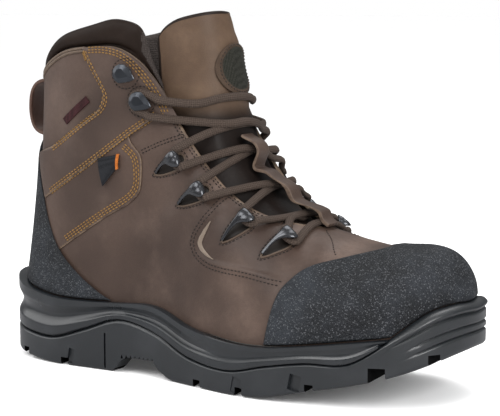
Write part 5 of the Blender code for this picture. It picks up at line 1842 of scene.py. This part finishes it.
TAG = ((80.5, 126.0), (94.0, 128.5), (94.0, 120.0), (84.5, 109.5))
TAG_EDGE = ((94.0, 129.0), (95.8, 129.2), (95.6, 120.2), (94.0, 119.6))
LABEL = ((52.0, 148.0), (71.0, 162.0), (74.0, 158.5), (55.5, 144.5))
tag_look = cloth("black_ribbon", (0.006, 0.0065, 0.008, 1.0), (0.018, 0.019, 0.022, 1.0))
edge_look = cloth("orange_ribbon", (0.24, 0.065, 0.010, 1.0), (0.42, 0.13, 0.025, 1.0))
label_look = cloth("maroon_ribbon", (0.017, 0.0055, 0.0060, 1.0), (0.042, 0.0125, 0.0145, 1.0))
OUTER_SIDE = -1.0
SHEET_ROWS = 9
TAG_LIFT = 1.2
TAG_FOLD = 1.3
TAG_BEND = 0.8
TAG_THICK = 1.1
TAG_EDGE_THICK = 1.0
LABEL_LIFT = 0.7
LABEL_THICK = 0.6
tag_lifts = TAG_LIFT + TAG_FOLD * np.sin(np.pi * TAG_BEND * np.linspace(0.0, 1.0, SHEET_ROWS))
label_lifts = np.full(SHEET_ROWS, LABEL_LIFT)
tag = new_object("side_tag", sheet_on(TAG, OUTER_SIDE, tag_lifts), tag_look)
dress(with_body(tag, TAG_THICK), "patch_fabric")
tag_edge = new_object("side_tag_edge", sheet_on(TAG_EDGE, OUTER_SIDE, tag_lifts), edge_look)
dress(with_body(tag_edge, TAG_EDGE_THICK), "patch_fabric")
label = new_object("ankle_label", sheet_on(LABEL, OUTER_SIDE, label_lifts), label_look)
dress(with_body(label, LABEL_THICK), "patch_fabric")

REVEAL_WIDE = 3.0
REVEAL_PARTS = (0.15, 0.53)
REVEAL_STEP = 1.5
REVEAL_SWELL = 0.8
REVEAL_FROM = 0.7
REVEAL_ACROSS = (0.0, 0.35, 0.7, 1.0)
REVEAL_LIFT = 0.3
REVEAL_ROUND = 0.35
REVEAL_THICK = 0.4
STRIP_DARK = (0.13, 0.10, 0.077)
STRIP_MID = (0.20, 0.165, 0.13)
STRIP_PALE = (0.29, 0.245, 0.20)
# The strip's pale leather paints the highlight along the quarter's raised edge
highlight_strip_look = leather("pale_strip", STRIP_DARK, STRIP_MID, STRIP_PALE, HIDE_EDGE)
for name, side in SIDES:
    line = smooth_line(CRESCENT, REVEAL_STEP)
    shares = np.linspace(0.0, 1.0, len(line))
    within = (shares > REVEAL_PARTS[0]) & (shares < REVEAL_PARTS[1])
    swell = np.sin(np.pi * (shares - REVEAL_PARTS[0]) / (REVEAL_PARTS[1] - REVEAL_PARTS[0])) ** REVEAL_SWELL
    way = unit(np.gradient(line, axis=0))
    ahead = np.column_stack([-way[:, 1], way[:, 0]])
    grid = []
    for (x, z), (out_x, out_z), wide in zip(line[within], ahead[within], swell[within] * REVEAL_WIDE):
        row = []
        for part in REVEAL_ACROSS:
            reach = REVEAL_FROM + wide * part
            spot, out = cast(wall_tree, x + out_x * reach, z + out_z * reach, side)
            lift = REVEAL_LIFT + REVEAL_ROUND * math.sin(math.pi * part)
            row.append((spot - HEEL) / MM + out * lift)
        grid.append(row)
    mesh = facing_out(grid, side)
    mesh.verts.layers.float.new("edge")
    strip = with_body(new_object(f"seam_strip_{name}", mesh, highlight_strip_look), REVEAL_THICK)
    dress(strip, "brown_leather")

# Bounds of the imported solids and of all that is shown
size = {"cad": [list(corner) for corner in cad_bounds], "visual": [list(corner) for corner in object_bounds()]}
